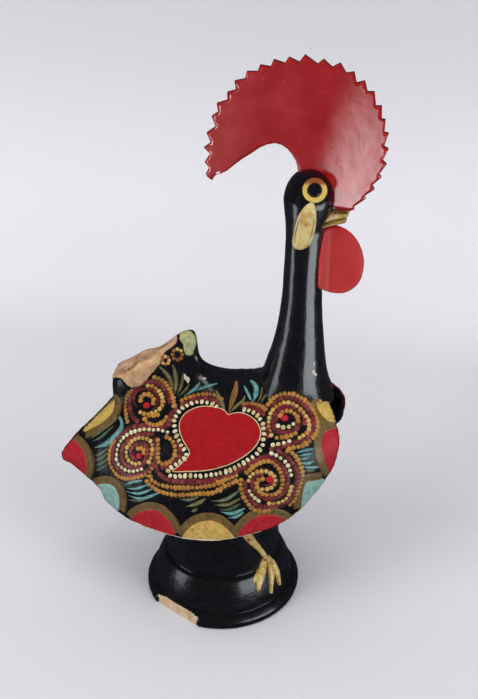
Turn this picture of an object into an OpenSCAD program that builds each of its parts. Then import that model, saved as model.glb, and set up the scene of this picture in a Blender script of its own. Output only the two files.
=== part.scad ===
// Painted clay rooster on a bell-shaped pedestal.
// Millimetres. X points to the beak, Y to the bird's left, Z up.
// The origin is the centre of the pedestal's foot, on the surface it stands on.

/* [Pedestal] */
// Radius of the foot rim
foot_r = 60; // [57:0.5:63]
// Height of the foot rim, up to the groove above it
rim_h = 9; // [7:0.5:11]
// Radius of the bell just above the rim
bell_r = 54.5; // [52:0.5:56]
// Height of the groove where the bell meets the column
bell_h = 37; // [33:0.5:40]
// Radius of the column at its foot
column_r = 44; // [42:0.5:46]
// Radius of the column at its top
column_top_r = 41.5; // [39:0.5:43]
// Height of the whole pedestal
pedestal_h = 78; // [74:1:82]
// Width of the chip broken from the foot rim
chip_w = 41; // [30:1:46]
// Direction of the chip, in degrees from the beak
chip_angle = -119; // [-150:1:-90]

/* [Clay] */
// Wall of the thrown hollow parts
wall = 5; // [4:0.5:6]
// Joint left between two pieces that are luted together
joint = 0.2; // [0.1:0.05:0.3]

/* [Body] */
// Height of the flat shoulder that carries the neck
shoulder_z = 183; // [178:1:188]
// Reach of the breast in front of the pedestal's centre
breast_x = 77; // [75:0.5:79]
// Height below which the breast curves back
breast_z = 172; // [165:1:176]
// Rise of the saddle between the wings
saddle_crown = 4; // [2:0.5:6]

/* [Wings] */
// Distance from the centre back to the tip where both wings meet
wing_back = 126; // [120:1:132]
// Distance from the centre forward to the wings' front edge
wing_front = 88.5; // [86:0.5:92]
// Half of the width over both wings
wing_half = 63; // [60:1:66]
// Height of the lowest stretch of the hem
hem_z = 86; // [83:1:89]
// Thickness of a wing
wing_t = 4.5; // [3.5:0.5:5.5]
// Outward swell of a wing over the straight line from top to hem
wing_swell = 15; // [10:1:18]
// Height of the nick behind the rear scallop
nick_h = 6; // [0:1:7]

/* [Neck and head] */
// Place of the neck's axis at the shoulder
neck_x = 52; // [51:0.5:53]
// Forward lean of the neck, in degrees
neck_lean = 2.6; // [1.4:0.2:4]
// Radius of the neck's flared foot
neck_foot_r = 25.3; // [24:0.1:25.5]
// Radius to which the neck narrows
neck_r = 12.3; // [11:0.1:13.5]
// Height over which the flare dies away
neck_flare = 36; // [30:1:40]
// Length from the shoulder to the widest part of the head
head_s = 142; // [136:1:148]
// Radius of the head
head_r = 16.7; // [15.5:0.1:18]
// Height of the crown above the widest part of the head
head_dome = 21; // [19:0.5:23]
// Length of the swelling under the head
head_swell = 20; // [16:1:24]

/* [Comb] */
// Long half of the comb over the tips of its teeth
comb_long = 59.4; // [56:0.2:62]
// Short half of the comb over the tips of its teeth
comb_short = 55.5; // [53:0.2:58]
// Turn of the comb's long axis, in degrees above the beak's direction
comb_turn = 39; // [30:1:48]
// Number of teeth
comb_teeth = 28; // [24:1:32]
// Depth of a tooth
tooth_h = 4.2; // [3:0.1:5]
// Thickness of the comb
comb_t = 5.5; // [4:0.5:7]
// Height of the comb's centre above the widest part of the head
comb_rise = 32.2; // [30:0.2:35]
// Distance of the comb's centre behind the head's axis
comb_back = 11.4; // [9:0.2:13]
// Radius of the notch over the nape
nape_r = 13.4; // [12:0.2:14.5]

/* [Face] */
// Height of the wattle
wattle_h = 47.5; // [42:0.5:52]
// Reach of the wattle in front of the neck
wattle_w = 25.5; // [22:0.5:28]
// Thickness of the wattle
wattle_t = 8; // [6:0.5:10]
// Length of the beak in front of the head
beak_l = 10; // [8:0.5:13]
// Width of the beak at its root
beak_w = 33; // [30:0.5:34]
// Width of the beak at its broken tip
beak_tip_w = 9; // [7:0.5:11]
// Diameter of the eye
eye_d = 15.5; // [14:0.5:17]
// Diameter of the pupil
pupil_d = 8.5; // [7:0.5:10]
// Height of the eye's rim above the middle of its seat
eye_h = 1; // [0.6:0.1:1.8]
// Height of the pupil above the eye's rim
pupil_h = 1.2; // [0.8:0.1:1.6]
// Upward turn of the eye, in degrees
eye_turn = 25; // [18:1:30]
// Height of an ear lobe
lobe_h = 30; // [26:1:33]
// Width of an ear lobe
lobe_w = 13.5; // [11:0.5:15]
// Thickness of an ear lobe
lobe_t = 2.2; // [1.6:0.1:3]

/* [Tail stump] */
// Height of the stump's front horn above the shoulder
stump_h = 41.5; // [36:0.5:44]
// Half of the stump's thickness at the break
stump_half = 15.5; // [13:0.5:17]
// Half of the thickness of its front horn
horn_half = 4.5; // [3.5:0.5:6]

/* [Legs] */
// Half of the width of a shank
shank_half = 4.6; // [4:0.1:5.2]
// Half of the width of the palm of a foot
palm_half = 6.6; // [5.8:0.1:7]
// Half of the width of the broad inner toe
toe_wide = 3.2; // [2.6:0.1:3.4]
// Half of the width of the two front toes
toe_half = 2; // [1.6:0.1:2.3]
// Half of the width of the hind toe
toe_hind = 1.2; // [1:0.1:1.5]
// Height of a shank and its toes above the pedestal
leg_t = 3; // [2:0.2:4]
// How much further round the pedestal the left leg stands, in degrees
left_leg_turn = 20; // [12:1:24]

/* [Hidden] */
$fn = 96;
black = "#1d1c1e";
red = "#b3151c";
yellow = "#d3a63f";
clay = "#b98b66";

// Helpers
function mix(a, b, t) = a + (b - a) * t;
function clip(t) = min(1, max(0, t));
function ease(t) = let (c = clip(t)) c * c * (3 - 2 * c);
function unit(v) = v / max(norm(v), 1e-9);
function flat(lists) = [for (l = lists) each l];

// A smooth curve through hand-chosen points, t from 0 to 1
function curve(p, t) =
    let (n = len(p) - 1, s = clip(t) * n, i = min(floor(s), n - 1), f = s - i,
        a = p[max(i - 1, 0)], b = p[i], c = p[i + 1], d = p[min(i + 2, n)])
    b + 0.5 * f * ((c - a) + f * ((2 * a - 5 * b + 4 * c - d) + f * (3 * (b - c) + d - a)));

// Faces of a skin over rings of k points each; the rings are closed loops
function skin_faces(rings, k) = flat([for (i = [0 : rings - 2]) flat([for (j = [0 : k - 1])
    let (a = i * k + j, b = i * k + (j + 1) % k, c = a + k, d = b + k)
    [[a, c, b], [b, c, d]]])]);

// A solid over rings of k points each, with a fan over either end
module skin(points, rings, k) {
    first = [for (j = [k - 1 : -1 : 0]) j];
    last = [for (j = [0 : k - 1]) (rings - 1) * k + j];
    polyhedron(points, concat([for (f = skin_faces(rings, k)) [f[2], f[1], f[0]]], [last], [first]));
}

// Pedestal
rim_roll = 1.5;
rim_shoulder = 5;
rim_top_r = foot_r - 4.2;
step_h = 1;
groove_d = 1.3;
groove_h = 1.6;
bell_shape = 1.7;
bell_in = 9.5;
// Outer radius of the bell and column, without the grooves
function body_of_pedestal(z) = z < bell_h
    ? mix(bell_r, bell_r - bell_in, pow(clip((z - rim_h) / (bell_h - rim_h)), bell_shape))
    : mix(bell_r - bell_in, column_top_r, (z - bell_h) / (pedestal_h - bell_h));
function bell_points(steps) = [for (i = [0 : steps])
    let (z = mix(rim_h + step_h, bell_h - groove_h, i / steps)) [body_of_pedestal(z), z]];
pedestal_outline = concat(
    [[foot_r - rim_roll, 0], [foot_r, rim_roll], [foot_r, rim_shoulder], [rim_top_r, rim_h],
        [bell_r, rim_h + step_h / 2]],
    bell_points(8),
    [[column_r - groove_d, bell_h], [column_r, bell_h + groove_h],
        [mix(column_r, column_top_r, 0.35), mix(bell_h, pedestal_h, 0.4)], [column_top_r, pedestal_h]]);
pedestal_n = len(pedestal_outline);
pedestal_inside = [for (i = [pedestal_n - 1 : -1 : 0])
    [pedestal_outline[i][0] - wall, pedestal_outline[i][1]]];

module base_pedestal() {
    chip_depth = foot_r - sqrt(pow(foot_r, 2) - pow(chip_w / 2, 2));
    color(black) difference() {
        rotate_extrude() polygon(concat(pedestal_outline, pedestal_inside));
        rotate([0, 0, chip_angle]) translate([foot_r - chip_depth, -chip_w, -1])
            cube([chip_w, 2 * chip_w, rim_h + 1]);
    }
}

// Wings. Each row pairs a point of the upper edge with a point of the hem:
// shares of the reach, of the half width, and of the height from hem to shoulder.
edge_pairs = [
    [[-1, 0.04, 0.23], [-0.99, 0.055, 0.155]],
    [[-0.91, 0.04, 0.38], [-0.92, 0.15, 0.15]],
    [[-0.755, 0.05, 0.61], [-0.77, 0.39, 0.11]],
    [[-0.635, 0.08, 0.79], [-0.62, 0.59, 0.035]],
    [[-0.475, 0.175, 0.915], [-0.45, 0.78, 0]],
    [[-0.24, 0.205, 0.955], [-0.16, 0.955, 0]],
    [[-0.02, 0.2, 0.945], [0.08, 1, 0.035]],
    [[0.26, 0.34, 0.985], [0.475, 0.92, 0.14]],
    [[0.52, 0.43, 1], [0.7, 0.79, 0.25]],
    [[0.72, 0.4, 1], [0.86, 0.63, 0.4]],
    [[0.87, 0.22, 1], [0.94, 0.52, 0.5]],
    [[0.955, 0.26, 0.925], [0.985, 0.445, 0.6]],
    [[0.998, 0.4, 0.79], [1, 0.42, 0.725]]];
function station(i) = i / (len(edge_pairs) - 1);
function place(share) = [share[0] * (share[0] < 0 ? wing_back : wing_front), share[1] * wing_half,
    mix(hem_z, shoulder_z, share[2])];
top_points = [for (p = edge_pairs) place(p[0])];
hem_points = [for (p = edge_pairs) place(p[1])];
// The rear scallop ends in a nick, where the hem steps up by nick_h
nick_u = station(2.6);
nick_run = 0.012;
function nick(u) = nick_h * (1 - ease((u - nick_u) / nick_run)) * ease(u / nick_u);
function top_edge(u) = curve(top_points, u);
function hem(u) = curve(hem_points, u) + [0, 0, nick(u)];
function swell(u) = wing_swell * pow(max(sin(180 * u), 0), 0.6);
// Outer surface of the left wing, u from the tail to the breast, v from the top to the hem
function outer(u, v) =
    let (t = top_edge(u), h = hem(u), c = h - t, out = unit([0, -c[2], c[1]]))
    mix(t, h, v) + out * swell(u) * 4 * v * (1 - v);
step = 0.004;
front_turn = 0.955;
// Outward direction; the front edge takes it from just behind, where the wing is still wide
function out_of(at_u, v) =
    let (u = min(at_u, front_turn), du = outer(u + step, v) - outer(max(u - step, 0), v),
        dv = outer(u, min(v + step, 1)) - outer(u, max(v - step, 0)))
    unit(cross(du, dv));
// The wing thins towards its upper edge, where it is smeared onto the body. At the
// stern it keeps its thickness, and the two wings meet in the middle plane.
thin_edge = 1;
thin_run = 0.22;
function thickness(u, v) =
    mix(mix(wing_t, thin_edge, ease((u - station(3)) / station(1))), wing_t, ease(v / thin_run));
// A point under the outer surface, deep millimetres below the wing's inner face
function under(u, v, deep) =
    let (p = outer(u, v) - out_of(u, v) * (thickness(u, v) + deep))
    [p[0], max(p[1], 0), p[2]];
function inner(u, v) = under(u, v, 0);

wing_u = 44;
wing_v = 12;
function wing_ring(i) = let (u = i / wing_u) concat(
    [for (j = [0 : wing_v]) outer(u, j / wing_v)],
    [for (j = [wing_v : -1 : 0]) inner(u, j / wing_v)]);
module wing() {
    color("#6b3a24") skin(flat([for (i = [0 : wing_u]) wing_ring(i)]), wing_u + 1, 2 * (wing_v + 1));
}
module left_wing() { wing(); }
module right_wing() { mirror([0, 1, 0]) wing(); }

// Body. Its flanks are the inner faces of the wings down to flank_v, and then it
// draws in to the top of the pedestal. In front it is rounded into the breast.
flank_v = 0.5;
flank_rows = 6;
belly_rows = 6;
deck_rows = 2;
deck_step = 1;
breast_slim = 0.09;
rear_i = 15;
front_i = 33;
end_steps = 5;
rear_reach = 6;
rear_drop = 11;
belly_drop = 0.55;
belly_slim = 0.95;
throat_r = column_top_r - wall;
// Crown of the saddle, none under the tail stump or the neck
function crown(u) = saddle_crown * ease((u - station(5.2)) / station(0.5))
    * (1 - ease((u - station(6.3)) / station(0.6)));
// The deck comes up level under the foot of the neck
function neck_seat(u) = ease((u - station(6.5)) / station(0.5));
// Angle at which a flank line reaches the pedestal's top
function seat_angle(p) = atan2(1.4 * p[1], p[0]);
function belly(p, a, q) =
    let (s = [column_top_r * cos(a), column_top_r * sin(a), pedestal_h],
        b = [p[0] * belly_slim, p[1] * belly_slim, mix(p[2], pedestal_h, belly_drop)])
    mix(mix(p, b, q), mix(b, s, q), q);
// One line down the left side, from the deck to the pedestal
function flank_line(u) =
    let (t = under(u, 0, joint), f = under(u, flank_v, joint), a = seat_angle(f))
    concat(
        [for (d = [deck_rows : -1 : 1]) let (s = 1 - d / (deck_rows + 1))
            [t[0], t[1] * s, mix(t[2] + crown(u) * (1 - s * s), shoulder_z, neck_seat(u))]],
        [for (k = [0 : flank_rows]) under(u, flank_v * k / flank_rows, joint)],
        [for (k = [1 : belly_rows]) belly(f, a, k / belly_rows)]);
// Foremost reach of the breast at a height
function breast(z) =
    let (t = clip((z - pedestal_h) / (breast_z - pedestal_h)))
    mix(column_top_r, breast_x, sqrt(1 - pow(1 - t, 2)));
lines = deck_rows + flank_rows + belly_rows + 1;
rear_line = flank_line(rear_i / wing_u);
front_line = flank_line(front_i / wing_u);
function turn(a, steps, i) = a * i / steps;
// Lines round the breast, i from 0 at the middle to end_steps at the wing
function breast_line(i) = let (w = turn(90, end_steps, i)) [for (k = [0 : lines - 1])
    let (q = front_line[k], b = breast(q[2]), last = k == lines - 1, a = atan2(q[1], q[0]) * i / end_steps)
    last ? [column_top_r * cos(a), column_top_r * sin(a), pedestal_h]
         : [mix(q[0], b, cos(w)) - deck_step * max(deck_rows - k, 0),
            q[1] * sin(w) * (1 - breast_slim * sin(2 * w)), q[2]]];
function rear_end_line(i) = let (w = turn(90, end_steps, i)) [for (k = [0 : lines - 1])
    let (q = rear_line[k], last = k == lines - 1, a = 180 - (180 - atan2(q[1], q[0])) * i / end_steps,
        low = rear_drop * (1 - k / (lines - 1)))
    last ? [column_top_r * cos(a), column_top_r * sin(a), pedestal_h]
         : [q[0] - rear_reach * cos(w), q[1] * sin(w), q[2] - low * cos(w)]];
left_lines = concat([for (i = [0 : end_steps - 1]) breast_line(i)],
    [for (i = [front_i : -1 : rear_i]) flank_line(i / wing_u)],
    [for (i = [end_steps - 1 : -1 : 0]) rear_end_line(i)]);
left_n = len(left_lines);
round_lines = concat(left_lines,
    [for (i = [left_n - 2 : -1 : 1]) [for (p = left_lines[i]) [p[0], -p[1], p[2]]]]);
round_n = len(round_lines);
heart_z = mix(pedestal_h, shoulder_z, 0.45);
// A point of the cavity, moved in from the outer face towards the middle of the body
function cavity_point(p, last) =
    last ? [p[0] * throat_r / column_top_r, p[1] * throat_r / column_top_r, p[2]]
    : let (m = [p[0] * 0.86, 0, mix(p[2], heart_z, 0.8)], d = m - p)
        p + unit(d) * min(wall * 1.2, 0.45 * norm(d));
outer_rings = [for (k = [0 : lines - 1]) [for (l = round_lines) l[k]]];
inner_rings = [for (r = [0 : lines - 1]) [for (p = outer_rings[r]) cavity_point(p, r == lines - 1)]];
// The deck is closed by strips between points that mirror each other
function deck_faces(start, up) = flat([for (i = [1 : left_n - 2])
    let (a = start + i, b = a + 1, c = start + round_n - i, d = c - 1)
    i == left_n - 2 ? (up ? [[a, b, c]] : [[c, b, a]])
        : (up ? [[a, b, d], [a, d, c]] : [[d, b, a], [c, d, a]])]);
function deck_tip(start, up) =
    let (a = start, b = start + 1, c = start + round_n - 1) up ? [[a, b, c]] : [[c, b, a]];

module body_shell() {
    points = concat(flat(outer_rings), flat([for (k = [lines - 1 : -1 : 0]) inner_rings[k]]));
    top = (2 * lines - 1) * round_n;
    faces = concat(skin_faces(2 * lines, round_n), deck_faces(0, true), deck_tip(0, true),
        deck_faces(top, false), deck_tip(top, false));
    color(black) polyhedron(points, [for (f = faces) [f[2], f[1], f[0]]]);
}

// Neck and head, thrown in one piece and closed at the crown. s runs up the leaning axis.
function neck_radius(s) = neck_r + (neck_foot_r - neck_r) * exp(-s / neck_flare);
swell_from = head_s - head_swell;
function head_radius(s) = s < head_s
    ? mix(neck_radius(s), head_r, ease((s - swell_from) / head_swell))
    : head_r * sqrt(max(1 - pow((s - head_s) / head_dome, 2), 0));
neck_stops = concat([for (i = [0 : 9]) mix(0, swell_from, pow(i / 10, 1.4))],
    [for (i = [0 : 6]) mix(swell_from, head_s, i / 6)],
    [for (a = [15 : 15 : 75]) head_s + head_dome * sin(a)]);
neck_sink = 4;
neck_t = 4;
bore_dome = 8;
function neck_profile(grow) = concat([[0, -neck_sink]], [[head_radius(0) + grow, -neck_sink]],
    [for (s = neck_stops) [head_radius(s) + grow, s]], [[0, head_s + head_dome + grow]]);
bore_top = head_s + head_dome - neck_t;
bore_stops = [for (s = neck_stops) if (s < head_s + bore_dome) s];
neck_bore = concat([[0, -neck_sink - 1], [head_radius(0) - neck_t, -neck_sink - 1]],
    [for (s = bore_stops) [head_radius(s) - neck_t, s]], [[0, bore_top]]);
module lean() { translate([neck_x, 0, shoulder_z]) rotate([0, neck_lean, 0]) children(); }
module neck_solid(grow) { lean() rotate_extrude() polygon(neck_profile(grow)); }
module neck_and_head() {
    room = 2 * neck_foot_r;
    color(black) intersection() {
        difference() {
            neck_solid(0);
            lean() rotate_extrude() polygon(neck_bore);
        }
        translate([neck_x - room, -room, shoulder_z + joint])
            cube([2 * room, 2 * room, head_s + head_dome + room]);
    }
}
// A place in the plane of the comb: distance in front of the neck's axis and along it
function on_axis(front, s) = [neck_x + front * cos(neck_lean) + s * sin(neck_lean),
    shoulder_z - front * sin(neck_lean) + s * cos(neck_lean)];
// The neck and head in that plane, for the flat pieces that fit against them
module neck_section(grow) {
    translate([neck_x, shoulder_z]) rotate(-neck_lean) {
        polygon(neck_profile(grow));
        mirror([1, 0]) polygon(neck_profile(grow));
    }
}
// A flat piece standing in the middle plane
module plate(t) { translate([0, t / 2, 0]) rotate([90, 0, 0]) linear_extrude(t) children(); }

// Comb
comb_c = on_axis(-comb_back, head_s + comb_rise);
comb_from = -45;
comb_to = 204;
tooth_a = (comb_to - comb_from) / (comb_teeth - 1);
nape_back = 11.8;
nape_drop = 11;
nape_c = comb_c - [nape_back, nape_drop];
// Under side of the rear tip, from the nape outwards, as shares of the comb's long half
tip_shares = [[-0.412, -0.024], [-0.537, -0.104], [-0.682, -0.222], [-0.808, -0.323]];
function at(c, r, a) = c + r * [cos(a), sin(a)];
// A point of the comb's oval edge, in deep millimetres
function on_comb(a, deep) =
    let (x = (comb_long - deep) * cos(a - comb_turn), y = (comb_short - deep) * sin(a - comb_turn))
    comb_c + [x * cos(comb_turn) - y * sin(comb_turn), x * sin(comb_turn) + y * cos(comb_turn)];
comb_outline = concat(
    flat([for (i = [0 : comb_teeth - 1]) let (a = comb_from + i * tooth_a)
        concat([on_comb(a, 0)], i < comb_teeth - 1 ? [on_comb(a + tooth_a / 2, tooth_h)] : [])]),
    [for (i = [len(tip_shares) - 1 : -1 : 0]) comb_c + comb_long * tip_shares[i]],
    [for (a = [110 : -12 : -10]) at(nape_c, nape_r, a)],
    [on_axis(0, head_s)]);
module comb() {
    color(red) plate(comb_t) difference() {
        polygon(comb_outline);
        neck_section(joint);
        translate(on_axis(0, beak_z + upper_h + mouth_rise / 2 + joint)) rotate(-neck_lean)
            translate([0, -comb_long]) square([head_r + beak_l, comb_long]);
    }
}

// Wattle
wattle_ahead = 8;
wattle_below = 42;
wattle_root = 14;
wattle_c = on_axis(neck_r + wattle_ahead, head_s - wattle_below);
wattle_sides = 40;
module wattle() {
    lobe = wattle_w - wattle_ahead;
    color(red) plate(wattle_t) difference() {
        translate(wattle_c) rotate(-neck_lean) polygon([for (i = [0 : wattle_sides - 1])
            let (a = 360 * i / wattle_sides, front = cos(a) > 0)
            [(front ? lobe : wattle_root) * cos(a), wattle_h / 2 * (front ? sin(a) : 0.97 * sin(a))]]);
        neck_section(joint);
    }
}

// Beak. Two halves that wrap the front of the head and end in a broken tip.
beak_root = 7.5;
beak_bulge = 8;
beak_below = 9;
beak_z = head_s - beak_below;
upper_h = 7.5;
lower_h = 5;
mouth = 0.5;
mouth_rise = 1.5;
module beak_half(up) {
    tip = head_r + beak_l;
    h = up ? upper_h : lower_h;
    side = up ? 1 : -1;
    lean() translate([0, 0, beak_z]) hull() {
        for (y = [-1, 1]) {
            translate([beak_root, y * (beak_w / 2 - 2), side * (mouth + 1)]) sphere(1, $fn = 24);
            translate([beak_root + beak_bulge, y * beak_w / 4, side * (h - 1)]) sphere(1, $fn = 24);
            translate([tip - 1, y * (beak_tip_w / 2 - 1), side * (mouth + 1) + mouth_rise]) sphere(1, $fn = 24);
        }
        translate([tip - 1.5, 0, side * (h - 1) + mouth_rise / 2]) sphere(1, $fn = 24);
    }
}
module upper_beak() {
    color(yellow) difference() {
        beak_half(true);
        neck_solid(joint);
    }
}
module lower_beak() {
    color(yellow) difference() {
        beak_half(false);
        neck_solid(joint);
    }
}

// Eyes. A ring pressed onto the head with the pupil in its middle, both on one slanted axis.
eye_above = 10.5;
eye_s = head_s + eye_above;
eye_front = 4.2;
eye_side = 11;
eye_seat = 2.5;
eye_depth = 8;
pupil_bevel = 1;
module eye_place(side) {
    lean() translate([eye_front, side * eye_side, eye_s]) rotate([side * (eye_turn - 90), 0, 0]) children();
}
module eye(side) {
    color(yellow) difference() {
        eye_place(side) translate([0, 0, -eye_depth]) difference() {
            cylinder(eye_depth + eye_seat + eye_h, d = eye_d);
            translate([0, 0, -1]) cylinder(eye_depth + eye_seat + eye_h + 2, d = pupil_d + 2 * joint);
        }
        neck_solid(joint);
    }
}
module pupil(side) {
    top = eye_seat + eye_h + pupil_h;
    color(black) difference() {
        eye_place(side) {
            translate([0, 0, -eye_depth]) cylinder(eye_depth + top - pupil_h / 2, d = pupil_d);
            translate([0, 0, top - pupil_h / 2]) cylinder(pupil_h / 2, d1 = pupil_d, d2 = pupil_d - 2 * pupil_bevel);
        }
        neck_solid(joint);
    }
}
module right_eye() { eye(-1); }
module left_eye() { eye(1); }
module right_pupil() { pupil(-1); }
module left_pupil() { pupil(1); }

// Ear lobes, flat drops pressed onto the sides of the head
lobe_below = 12.5;
lobe_s = head_s - lobe_below;
lobe_front = -0.3;
lobe_sides = 28;
module ear_lobe(side) {
    outline = [for (i = [0 : lobe_sides - 1]) let (a = 360 * i / lobe_sides)
        [lobe_w / 2 * cos(a) * (1 - 0.22 * sin(a)), lobe_h / 2 * sin(a)]];
    color(yellow) intersection() {
        difference() {
            neck_solid(joint + lobe_t);
            neck_solid(joint);
        }
        lean() translate([lobe_front, 0, lobe_s]) rotate([90, 0, 0]) scale([1, 1, -side])
            linear_extrude(2 * head_r) polygon(outline);
    }
}
module right_ear_lobe() { ear_lobe(-1); }
module left_ear_lobe() { ear_lobe(1); }

// Tail stump, the broken root of the tail. Its rings follow the deck of the body.
stump_from = station(3);
stump_to = station(5.95);
stump_sides = 16;
stump_rise = [0.4, 0.56, 0.6, 0.6, 0.62, 0.66, 0.8, 1, 0.95, 0.48, 0.15];
stump_thick = [0.8, 0.95, 1, 0.9, 0.7, 0.45, 0.2, 0.05, 0, -0.05, -0.1];
stump_rings = len(stump_rise);
module tail_stump() {
    rings = [for (i = [0 : stump_rings - 1])
        let (u = mix(stump_from, stump_to, i / (stump_rings - 1)), t = top_edge(u),
            foot = t[2] + crown(u) + joint, h = max(stump_rise[i] * stump_h, 1),
            half = mix(horn_half, stump_half, stump_thick[i]))
        [for (j = [0 : stump_sides - 1]) let (a = 360 * (j + 0.5) / stump_sides,
            c = pow(abs(cos(a)), 0.7) * sign(cos(a)), s = pow(abs(sin(a)), 0.7) * sign(sin(a)))
            [t[0], half * c, foot + h / 2 + h / 2 * s]]];
    color(clay) skin(flat(rings), stump_rings, stump_sides);
}

// Legs, flat-backed coils of clay pressed onto the pedestal. A path is a list of
// angle round the pedestal, height, and half width.
leg_sides = 7;
leg_steps = 12;
function leg_ring(path, t, high, bow) =
    let (p = curve(path, t), q = curve(path, min(t + 0.02, 1)) - curve(path, max(t - 0.02, 0)),
        r = body_of_pedestal(p[1]), run = unit([q[0] * PI / 180 * r, q[1]]), across = [-run[1], run[0]],
        tip = 0.55 + 0.45 * sqrt(clip(4 * bow * (1 - t))))
    concat(
        [for (j = [0 : leg_sides]) let (w = 180 * j / leg_sides, o = p[2] * tip * cos(w),
            z = p[1] + across[1] * o, a = p[0] + across[0] * o / r * 180 / PI,
            rr = body_of_pedestal(z) + joint + high * tip * sin(w)) [rr * cos(a), rr * sin(a), z]]);
module coil(path, high, bow) {
    rings = [for (i = [0 : leg_steps]) leg_ring(path, i / leg_steps, high, bow)];
    color(yellow) skin(flat(rings), leg_steps + 1, leg_sides + 1);
}
shank_gap = 2;
shank_top = pedestal_h - shank_gap;
foot_z = 41.5;
shank_path = [[-56, shank_top, shank_half], [-47, mix(foot_z, shank_top, 0.65), shank_half],
    [-39, mix(foot_z, shank_top, 0.3), shank_half * 1.1], [-31.5, foot_z, palm_half]];
toe_start = foot_z - leg_t;
wide_toe = [[-38, toe_start, toe_wide * 0.9], [-42, 32, toe_wide], [-47.5, 24.5, toe_wide * 0.8]];
middle_toe = [[-30.3, toe_start - 1, toe_half], [-32.5, 28, toe_half], [-36, 18, toe_half * 0.9]];
outer_toe = [[-23.8, toe_start, toe_half], [-22.5, 28, toe_half], [-24.5, 18.8, toe_half * 0.9]];
hind_toe = [[-48.5, 35.5, toe_hind], [-50, 32.5, toe_hind * 1.1], [-52, 29, toe_hind]];
module shank() { coil(shank_path, leg_t, 1); }
module toes() {
    for (path = [wide_toe, middle_toe, outer_toe, hind_toe]) coil(path, leg_t * 0.85, 1);
}
module right_shank() { shank(); }
module left_shank() { rotate([0, 0, left_leg_turn]) mirror([0, 1, 0]) shank(); }
module right_toes() { toes(); }
module left_toes() { rotate([0, 0, left_leg_turn]) mirror([0, 1, 0]) toes(); }

base_pedestal();
body_shell();
right_wing();
left_wing();
neck_and_head();
tail_stump();
comb();
wattle();
upper_beak();
lower_beak();
right_eye();
left_eye();
right_pupil();
left_pupil();
right_ear_lobe();
left_ear_lobe();
right_shank();
left_shank();
right_toes();
left_toes();
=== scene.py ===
import math
import random

import bmesh
import bpy
import numpy as np
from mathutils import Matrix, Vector
from mathutils.bvhtree import BVHTree
from mathutils.geometry import delaunay_2d_cdt


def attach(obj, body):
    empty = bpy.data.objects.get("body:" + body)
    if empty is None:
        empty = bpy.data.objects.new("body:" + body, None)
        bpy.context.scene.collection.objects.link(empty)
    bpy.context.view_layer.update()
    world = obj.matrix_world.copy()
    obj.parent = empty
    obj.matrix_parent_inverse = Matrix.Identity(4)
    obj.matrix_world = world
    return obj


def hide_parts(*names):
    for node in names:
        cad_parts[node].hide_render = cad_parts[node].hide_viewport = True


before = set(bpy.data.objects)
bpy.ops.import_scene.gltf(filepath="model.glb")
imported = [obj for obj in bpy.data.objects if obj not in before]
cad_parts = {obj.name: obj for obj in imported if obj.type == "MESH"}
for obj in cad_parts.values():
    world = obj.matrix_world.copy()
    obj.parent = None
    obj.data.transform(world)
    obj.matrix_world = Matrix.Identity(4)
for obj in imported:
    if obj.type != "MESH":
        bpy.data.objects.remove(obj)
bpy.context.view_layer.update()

MM = 0.001
SCENE = bpy.context.scene
SCENE.view_settings.view_transform = "Standard"

# ------------------------------------------------------------------ camera
# Distances in mm, angles in degrees. The camera looks down on the rooster's right side, a little
# from the front, and stands as far away as the photographer did.
CAM_TURN = 11.0
CAM_AWAY = 615.15
CAM_UP = 553.93
CAM_PITCH = 29.26
CAM_PAN = 1.195
FOCAL = 1000.0
IMAGE_H = 699
CENTRE_X, CENTRE_Y = 239.0, 349.5
SENSOR = 36.0
NEAR_PLANE = -45.0


def camera_axes():
    turn, pan, pitch = math.radians(CAM_TURN), math.radians(CAM_PAN), math.radians(CAM_PITCH)
    ahead = Vector((-math.sin(turn), math.cos(turn), 0))
    right = Vector((math.cos(turn), math.sin(turn), 0))
    level = ahead * math.cos(pan) + right * math.sin(pan)
    look = level * math.cos(pitch) - Vector((0, 0, math.sin(pitch)))
    right = look.cross(Vector((0, 0, 1))).normalized()
    eye = Vector((CAM_AWAY * math.sin(turn), -CAM_AWAY * math.cos(turn), CAM_UP))
    return eye, look, right, right.cross(look)


EYE, LOOK, RIGHT, ABOVE = camera_axes()


def linked(name, data):
    obj = bpy.data.objects.new(name, data)
    SCENE.collection.objects.link(obj)
    return obj


def aimed(obj, where, way):
    obj.location = where
    obj.rotation_mode = "QUATERNION"
    obj.rotation_quaternion = way.to_track_quat("-Z", "Y")


def make_camera():
    data = bpy.data.cameras.new("camera")
    data.sensor_width = SENSOR
    data.lens = FOCAL * SENSOR / IMAGE_H
    data.clip_start, data.clip_end = 0.01, 20
    SCENE.camera = linked("camera", data)
    aimed(SCENE.camera, EYE * MM, LOOK)


make_camera()


# ------------------------------------------------------------------ sums
def mix(a, b, t):
    return a + (b - a) * t


def ease(t):
    t = np.clip(t, 0, 1)
    return t * t * (3 - 2 * t)


def curve(points, t):
    """A smooth curve through given points, t from 0 to 1."""
    p = np.asarray(points, float)
    n = len(p) - 1
    s = np.clip(np.asarray(t, float), 0, 1) * n
    i = np.minimum(np.floor(s).astype(int), n - 1)
    f = (s - i)[..., None]
    a, b, c, d = p[np.maximum(i - 1, 0)], p[i], p[i + 1], p[np.minimum(i + 2, n)]
    bend = (2 * a - 5 * b + 4 * c - d) + f * (3 * (b - c) + d - a)
    return b + 0.5 * f * ((c - a) + f * bend)


def pairs(*flat):
    """A row of numbers as (x, y) points."""
    return list(zip(flat[::2], flat[1::2]))


def unit(v):
    return v / max(np.linalg.norm(v), 1e-9)


def units(v):
    """Rows of v, each one long."""
    return v / np.maximum(np.linalg.norm(v, axis=-1, keepdims=True), 1e-9)


def run_of(line):
    """The distance of each of a line's points from its start, along the line."""
    return np.concatenate([[0], np.cumsum(np.linalg.norm(np.diff(line, axis=0), axis=1))])


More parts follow.
